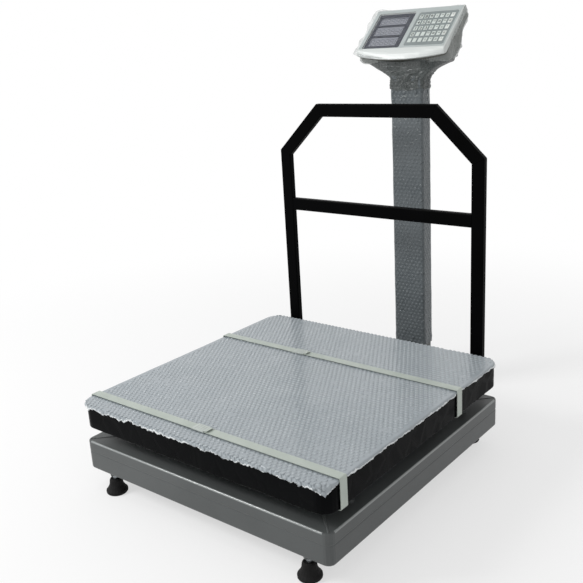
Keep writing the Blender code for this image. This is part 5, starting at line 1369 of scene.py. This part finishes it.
@dataclass
class HeadFilm:
    """Loose film drawn over the head from behind, open round the neck, with a fringe at the left."""

    head: Head
    rings: int = 66
    spokes: int = 150
    lip_rings: int = 4
    stand_off: float = 0.0007
    crumple: float = 0.0042
    lip: float = 0.0006
    middle: tuple[float, float] = (0.050, -0.025)   # of the case: up the face, and out of it
    case: tuple[float, float, float] = (0.112, 0.068, 0.042)    # half of its width, length and depth
    neck_reach: float = 0.0300  # half of the opening for the neck, front to back
    neck_rise: float = 0.030    # and how far it goes up from the tilt axis
    width: float = 0.42         # of the flat film
    far: float = 0.4            # the case is searched from so far outside
    # Where the rim lies in front of the case's middle, and how much further back at the chin, in degrees.
    lowest: tuple[float, float] = (-24.0, 38.0)
    fringe: float = 0.0150      # length of the fringe
    fringe_arc: tuple[float, float] = (112.0, 142.0)    # its start and its run, in degrees
    fringe_rise: float = 0.016  # how far in front of the case's middle it is cast
    fringe_rows: int = 9
    fringe_columns: int = 72
    fringe_lift: float = 0.0050

    def __post_init__(self) -> None:
        """Find the middle of the case, and make the search tree of its two halves."""
        self.centre = self.head.point(0.0, *self.middle)
        meshes = [frame["nodes"][name].data for name in ("head_front_cover", "head_rear_shell")]
        self.tree = BVHTree.FromPolygons(*joined(
            ([v.co.copy() for v in mesh.vertices], [tuple(p.vertices) for p in mesh.polygons])
            for mesh in meshes))

    def cast(self, out: Vector) -> Vector | None:
        """Find where the case is met from outside, against the direction out of its middle."""
        return self.tree.ray_cast(self.centre + out * self.far, -out)[0]

    def build(self) -> None:
        """Cast the film's grid onto the head from outside and crumple it."""
        grid = [[self.spot(ring, spoke) for spoke in range(self.spokes, 0, -1)]
                for ring in range(-self.lip_rings, self.rings + 1)]
        low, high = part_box("pole_film")
        reach_x = max(high.x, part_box("tilt_knob_right")[1].x) + 0.002
        middle_y = (low.y + high.y) / 2

        def keep(at: Vector) -> bool:
            """Leave the neck open."""
            aside = abs(at.x) >= reach_x or abs(at.y - middle_y) >= self.neck_reach
            return aside or at.z >= self.head.axis.z + self.neck_rise

        film = grid_piece("head_film_bag", grid, round_trip=True, keep=keep)
        settle(film, "head", HEAD_FILM)
        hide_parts("head_film")
        fringe = self.fringe_piece()

    def fringe_piece(self) -> bpy.types.Object:
        """Make the white crumpled rim that stands out at the head's left side.

        Returns:
            The piece.
        """
        half_x, half_y = self.case[:2]
        grid = []
        for row in range(self.fringe_rows + 1):
            share = row / self.fringe_rows
            line = []
            for column in range(self.fringe_columns + 1):
                part = column / self.fringe_columns
                angle = math.radians(self.fringe_arc[0] + self.fringe_arc[1] * part)
                x, y = math.cos(angle), math.sin(angle)
                out = (self.head.turned @ Vector((half_x * x, half_y * y, self.fringe_rise))).normalized()
                at = (self.cast(out) or self.centre + out * half_x) + out * self.stand_off
                away = self.head.turned @ Vector((x, 0.6 * y, -0.35 + 0.5 * share))
                crumple = 0.62 + 0.55 * fold_noise((column * 0.0016, 0.4), 0.026, 3.9)
                at += away * self.fringe * math.sin(math.pi * part) ** 0.45 * crumple * share
                lift = self.fringe_lift * share * smooth_noise(at, 0.020, 2.2)
                line.append(at + self.head.turned @ Vector((0.2, 0, 1)) * lift)
            grid.append(line[::-1])
        return settle(grid_piece("head_film_fringe", grid), "head", FRINGE_FILM)

    def spot(self, ring: int, spoke: int) -> Vector:
        """Place one point of the film.

        Args:
            ring: ring from the rim, with the lip's rings below 0.
            spoke: place round the rim.

        Returns:
            The place in the frame.
        """
        round_rim = 2 * math.pi * spoke / self.spokes
        lowest = self.lowest[0] + self.lowest[1] * max(0.0, -math.sin(round_rim)) ** 2
        share = max(ring, 0) / self.rings
        rise = math.radians(lowest + (90 - lowest) * share)
        half_x, half_y, depth = self.case
        way = self.head.turned @ Vector((half_x * math.cos(rise) * math.cos(round_rim),
                                         half_y * math.cos(rise) * math.sin(round_rim),
                                         -depth * math.sin(rise)))
        out = way.normalized()
        hit = self.cast(out) or self.centre + way
        left = max(0.0, -math.cos(round_rim)) ** 3
        folds = fold_noise(hit, 0.034, 1.1) ** 2 + 0.25 * fold_noise(hit, 0.015, 7.7) ** 2
        free = min(1.0, share * 5 + 0.12 + 0.5 * left)
        at = hit + out * (self.stand_off + free * self.crumple * folds)
        if ring < 0:
            away = self.head.turned @ Vector((math.cos(round_rim), math.sin(round_rim), 0.25))
            at += away * self.lip * -ring / self.lip_rings
        return at


@dataclass
class NeckFilm:
    """Film gathered from the head's underside to the pole."""

    head: Head
    pole: Pole
    rings: int = 34
    spokes: int = 140
    foot: float = 0.7240        # height of its lower edge
    neck: float = 0.7385        # height at which it starts to open out, at the right
    left_neck: float = 0.7518   # the same at the left
    half_width: float = 0.1045  # reach to each side under the head
    front: float = 0.0310       # reach to the front, from the pole's middle
    back: float = 0.0400
    side_height: float = 0.7800  # height of its upper edge at the head's two sides
    front_rise: float = 0.0120  # how much higher the upper edge is at the front
    back_rise: float = 0.0330
    pleat: float = 0.0030
    off: float = 0.0008         # from the pole's film
    left_off: float = 0.0006    # and how much more at the left
    rag: float = 0.005          # how far the lower edge strays
    mouth: float = 0.0085       # how far the front sags from the case and leaves a dark slot
    mouth_x: float = -0.010
    mouth_width: float = 0.048
    # How late it opens out in the middle, and how much later at the right and at the left.
    opening: tuple[float, float, float] = (1.35, 0.75, -0.35)
    width: float = 0.30         # of the flat film

    def spot(self, ring: int, spoke: int) -> Vector:
        """Place one point.

        Args:
            ring: ring from the pole upwards.
            spoke: place round the pole.

        Returns:
            The place in the frame.
        """
        share = ring / self.rings
        turn = spoke / self.spokes
        middle = Vector((0, self.pole.middle_y, self.foot))
        start = self.pole.lay(turn, self.foot)
        out = (start - middle).normalized()
        at_left, at_right = max(0.0, -out.x), max(0.0, out.x)
        start += out * (self.off + self.left_off * at_left)
        angle = math.atan2(out.y, out.x)
        across = math.copysign(abs(math.cos(angle)) ** 0.5, out.x)
        along = math.copysign(abs(math.sin(angle)) ** 0.8, out.y)
        rise, reach = (self.back_rise, self.back) if along > 0 else (self.front_rise, self.front)
        end = Vector((self.half_width * across, middle.y + reach * along,
                      self.side_height + rise * along * along))
        if along < 0:
            end.z -= self.mouth * math.exp(-((end.x - self.mouth_x) / self.mouth_width) ** 2)
        ragged = self.rag * smooth_noise((turn * 0.25, 0.0), 0.02, 2.7) * (1 - share)
        height = start.z + (end.z - start.z) * share + ragged
        neck = self.neck + (self.left_neck - self.neck) * at_left ** 0.5
        open_up = max(0.0, (height - neck) / (end.z - neck))
        plain, more_right, more_left = self.opening
        flat = start.lerp(end, open_up ** (plain + more_right * at_right ** 2 + more_left * at_left ** 2))
        folds = (0.65 * fold_noise((turn * 0.30, 0.15 * share), 0.014, 4.9) ** 2
                 + 0.55 * fold_noise((turn * 0.25, share * 0.12), 0.018, 9.1) ** 2)
        swell = math.sin(math.pi * min(0.12 + share * 0.95, 1.0)) ** 0.8
        return Vector((flat.x, flat.y, height)) + out * self.pleat * folds * swell

    def build(self) -> None:
        """Make the gathered film."""
        grid = [[self.spot(ring, spoke) for spoke in range(self.spokes, 0, -1)]
                for ring in range(self.rings + 1)]
        film = grid_piece("neck_film_gather", grid, round_trip=True)
        film.data.materials.append(NECK_FILM.material())
        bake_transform(film)
        LOG.info("%s: %s, %d faces", film.name, NECK_FILM.name, len(film.data.polygons))


# Stage


@dataclass(frozen=True)
class Lamp:
    """Soft lamp that faces a target."""

    name: str
    place: tuple[float, float, float]
    target: tuple[float, float, float]
    size: float
    power: float
    tint: str = "#FFFFFF"

    def build(self) -> None:
        """Make the lamp."""
        light = bpy.data.lights.new(self.name, "AREA")
        light.size = self.size
        light.energy = self.power
        light.color = linear(self.tint)[:3]
        lamp = bpy.data.objects.new(self.name, light)
        lamp.location = self.place
        aim = Vector(self.target) - Vector(self.place)
        lamp.rotation_euler = aim.to_track_quat("-Z", "Y").to_euler()
        bpy.context.scene.collection.objects.link(lamp)


@dataclass
class Studio:
    """Pale floor, white surroundings, soft lamps and the camera."""

    eye: tuple[float, float, float] = (0.9723, -1.28766, 0.8461)
    azimuth: float = math.radians(39.530)
    pitch: float = math.radians(17.128)
    roll: float = math.radians(3.408)
    lens: float = 50.55
    floor_size: float = 14.0
    # Where the floor starts to go plain white and where it is so, in metres, and its glow before that.
    shadow_kept: tuple[float, float] = (0.5, 1.9)
    shadow_share: float = 0.60
    sky: float = 0.56           # strength of the surroundings' light

    def build(self) -> None:
        """Make the camera, the floor, the world and the lamps."""
        self.camera()
        self.floor()
        self.world()
        for lamp in (Lamp("key_lamp", (-1.75, -1.9, 2.05), (0.0, -0.1, 0.3), 0.9, 48.0),
                     Lamp("top_lamp", (-0.4, -0.3, 3.2), (0.0, 0.0, 0.3), 1.8, 8.0)):
            lamp.build()

    def camera(self) -> None:
        """Set the camera at the photograph's angle."""
        right = Vector((math.cos(self.azimuth), math.sin(self.azimuth), 0))
        ahead = Vector((-math.sin(self.azimuth), math.cos(self.azimuth), 0))
        look = ahead * math.cos(self.pitch) - Vector((0, 0, math.sin(self.pitch)))
        up = Vector((0, 0, math.cos(self.pitch))) + ahead * math.sin(self.pitch)
        rolled_right = right * math.cos(self.roll) - up * math.sin(self.roll)
        rolled_up = up * math.cos(self.roll) + right * math.sin(self.roll)
        data = bpy.data.cameras.new("camera")
        data.lens = self.lens
        data.sensor_width = 36.0
        camera = bpy.data.objects.new("camera", data)
        axes = Matrix((rolled_right, rolled_up, -look)).transposed()
        camera.matrix_world = Matrix.Translation(self.eye) @ axes.to_4x4()
        bpy.context.scene.collection.objects.link(camera)
        bpy.context.scene.camera = camera

    def white_seen(self, tree: bpy.types.NodeTree) -> bpy.types.NodeSocket:
        """Tell where the camera sees a surface itself, in gloss or through glass.

        Args:
            tree: node tree of the floor or of the world.

        Returns:
            Socket that is 1 there and 0 for the rays that light the scale.
        """
        path = add(tree, "ShaderNodeLightPath").outputs
        seen = path["Is Camera Ray"]
        for ray in ("Is Glossy Ray", "Is Transmission Ray"):
            seen = add(tree, "ShaderNodeMath", {"operation": "MAXIMUM"}, {0: seen, 1: path[ray]}).outputs[0]
        return seen

    def floor(self) -> None:
        """Make the floor: near white with a soft shadow, and plain white away from the scale."""
        half = self.floor_size / 2
        floor = mesh_piece("floor", [(-half, -half, 0), (half, -half, 0), (half, half, 0), (-half, half, 0)],
                           [(0, 1, 2, 3)], smooth=False)
        material = bpy.data.materials.new("white_paper")
        material.use_nodes = True
        tree = material.node_tree
        paper = tree.nodes["Principled BSDF"]
        paper.inputs["Base Color"].default_value = linear("#F6F6F6")
        paper.inputs["Roughness"].default_value = 0.9
        glow = add(tree, "ShaderNodeEmission", {"Strength": 1.0})
        point = add(tree, "ShaderNodeTexCoord").outputs["Object"]
        away = add(tree, "ShaderNodeVectorMath", {"operation": "LENGTH"}, {0: point})
        start, end = self.shadow_kept
        clear = add(tree, "ShaderNodeMapRange", {"interpolation_type": "SMOOTHSTEP", "From Min": start,
                                                 "From Max": end, "To Min": self.shadow_share,
                                                 "To Max": 1.0}, {0: away.outputs["Value"]})
        share = add(tree, "ShaderNodeMath", {"operation": "MULTIPLY"},
                    {0: self.white_seen(tree), 1: clear.outputs[0]})
        mixed = add(tree, "ShaderNodeMixShader", None,
                    {0: share.outputs[0], 1: paper.outputs[0], 2: glow.outputs[0]})
        tree.links.new(mixed.outputs[0], tree.nodes["Material Output"].inputs["Surface"])
        floor.data.materials.append(material)

    def world(self) -> None:
        """Make the white surroundings, and the softer light that they give."""
        world = bpy.data.worlds.new("studio")
        world.use_nodes = True
        tree = world.node_tree
        white = add(tree, "ShaderNodeBackground", {"Color": (1, 1, 1, 1), "Strength": 1.0})
        soft = add(tree, "ShaderNodeBackground", {"Color": (1, 1, 1, 1), "Strength": self.sky})
        mixed = add(tree, "ShaderNodeMixShader", None,
                    {0: self.white_seen(tree), 1: soft.outputs[0], 2: white.outputs[0]})
        tree.links.new(mixed.outputs[0], tree.nodes["World Output"].inputs["Surface"])
        scene = bpy.context.scene
        scene.world = world
        scene.view_settings.view_transform = "Standard"


def main() -> None:
    """Build the looks in order."""
    logging.basicConfig(level=logging.INFO, format="%(message)s")
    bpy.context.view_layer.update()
    Studio().build()
    Base().build()
    Deck().build()
    DeckFilm().build()
    Rail().build()
    pole = Pole()
    pole.build()
    head = Head()
    head.build()
    HeadFilm(head).build()
    NeckFilm(head, pole).build()


if __name__ == "__main__":
    main()
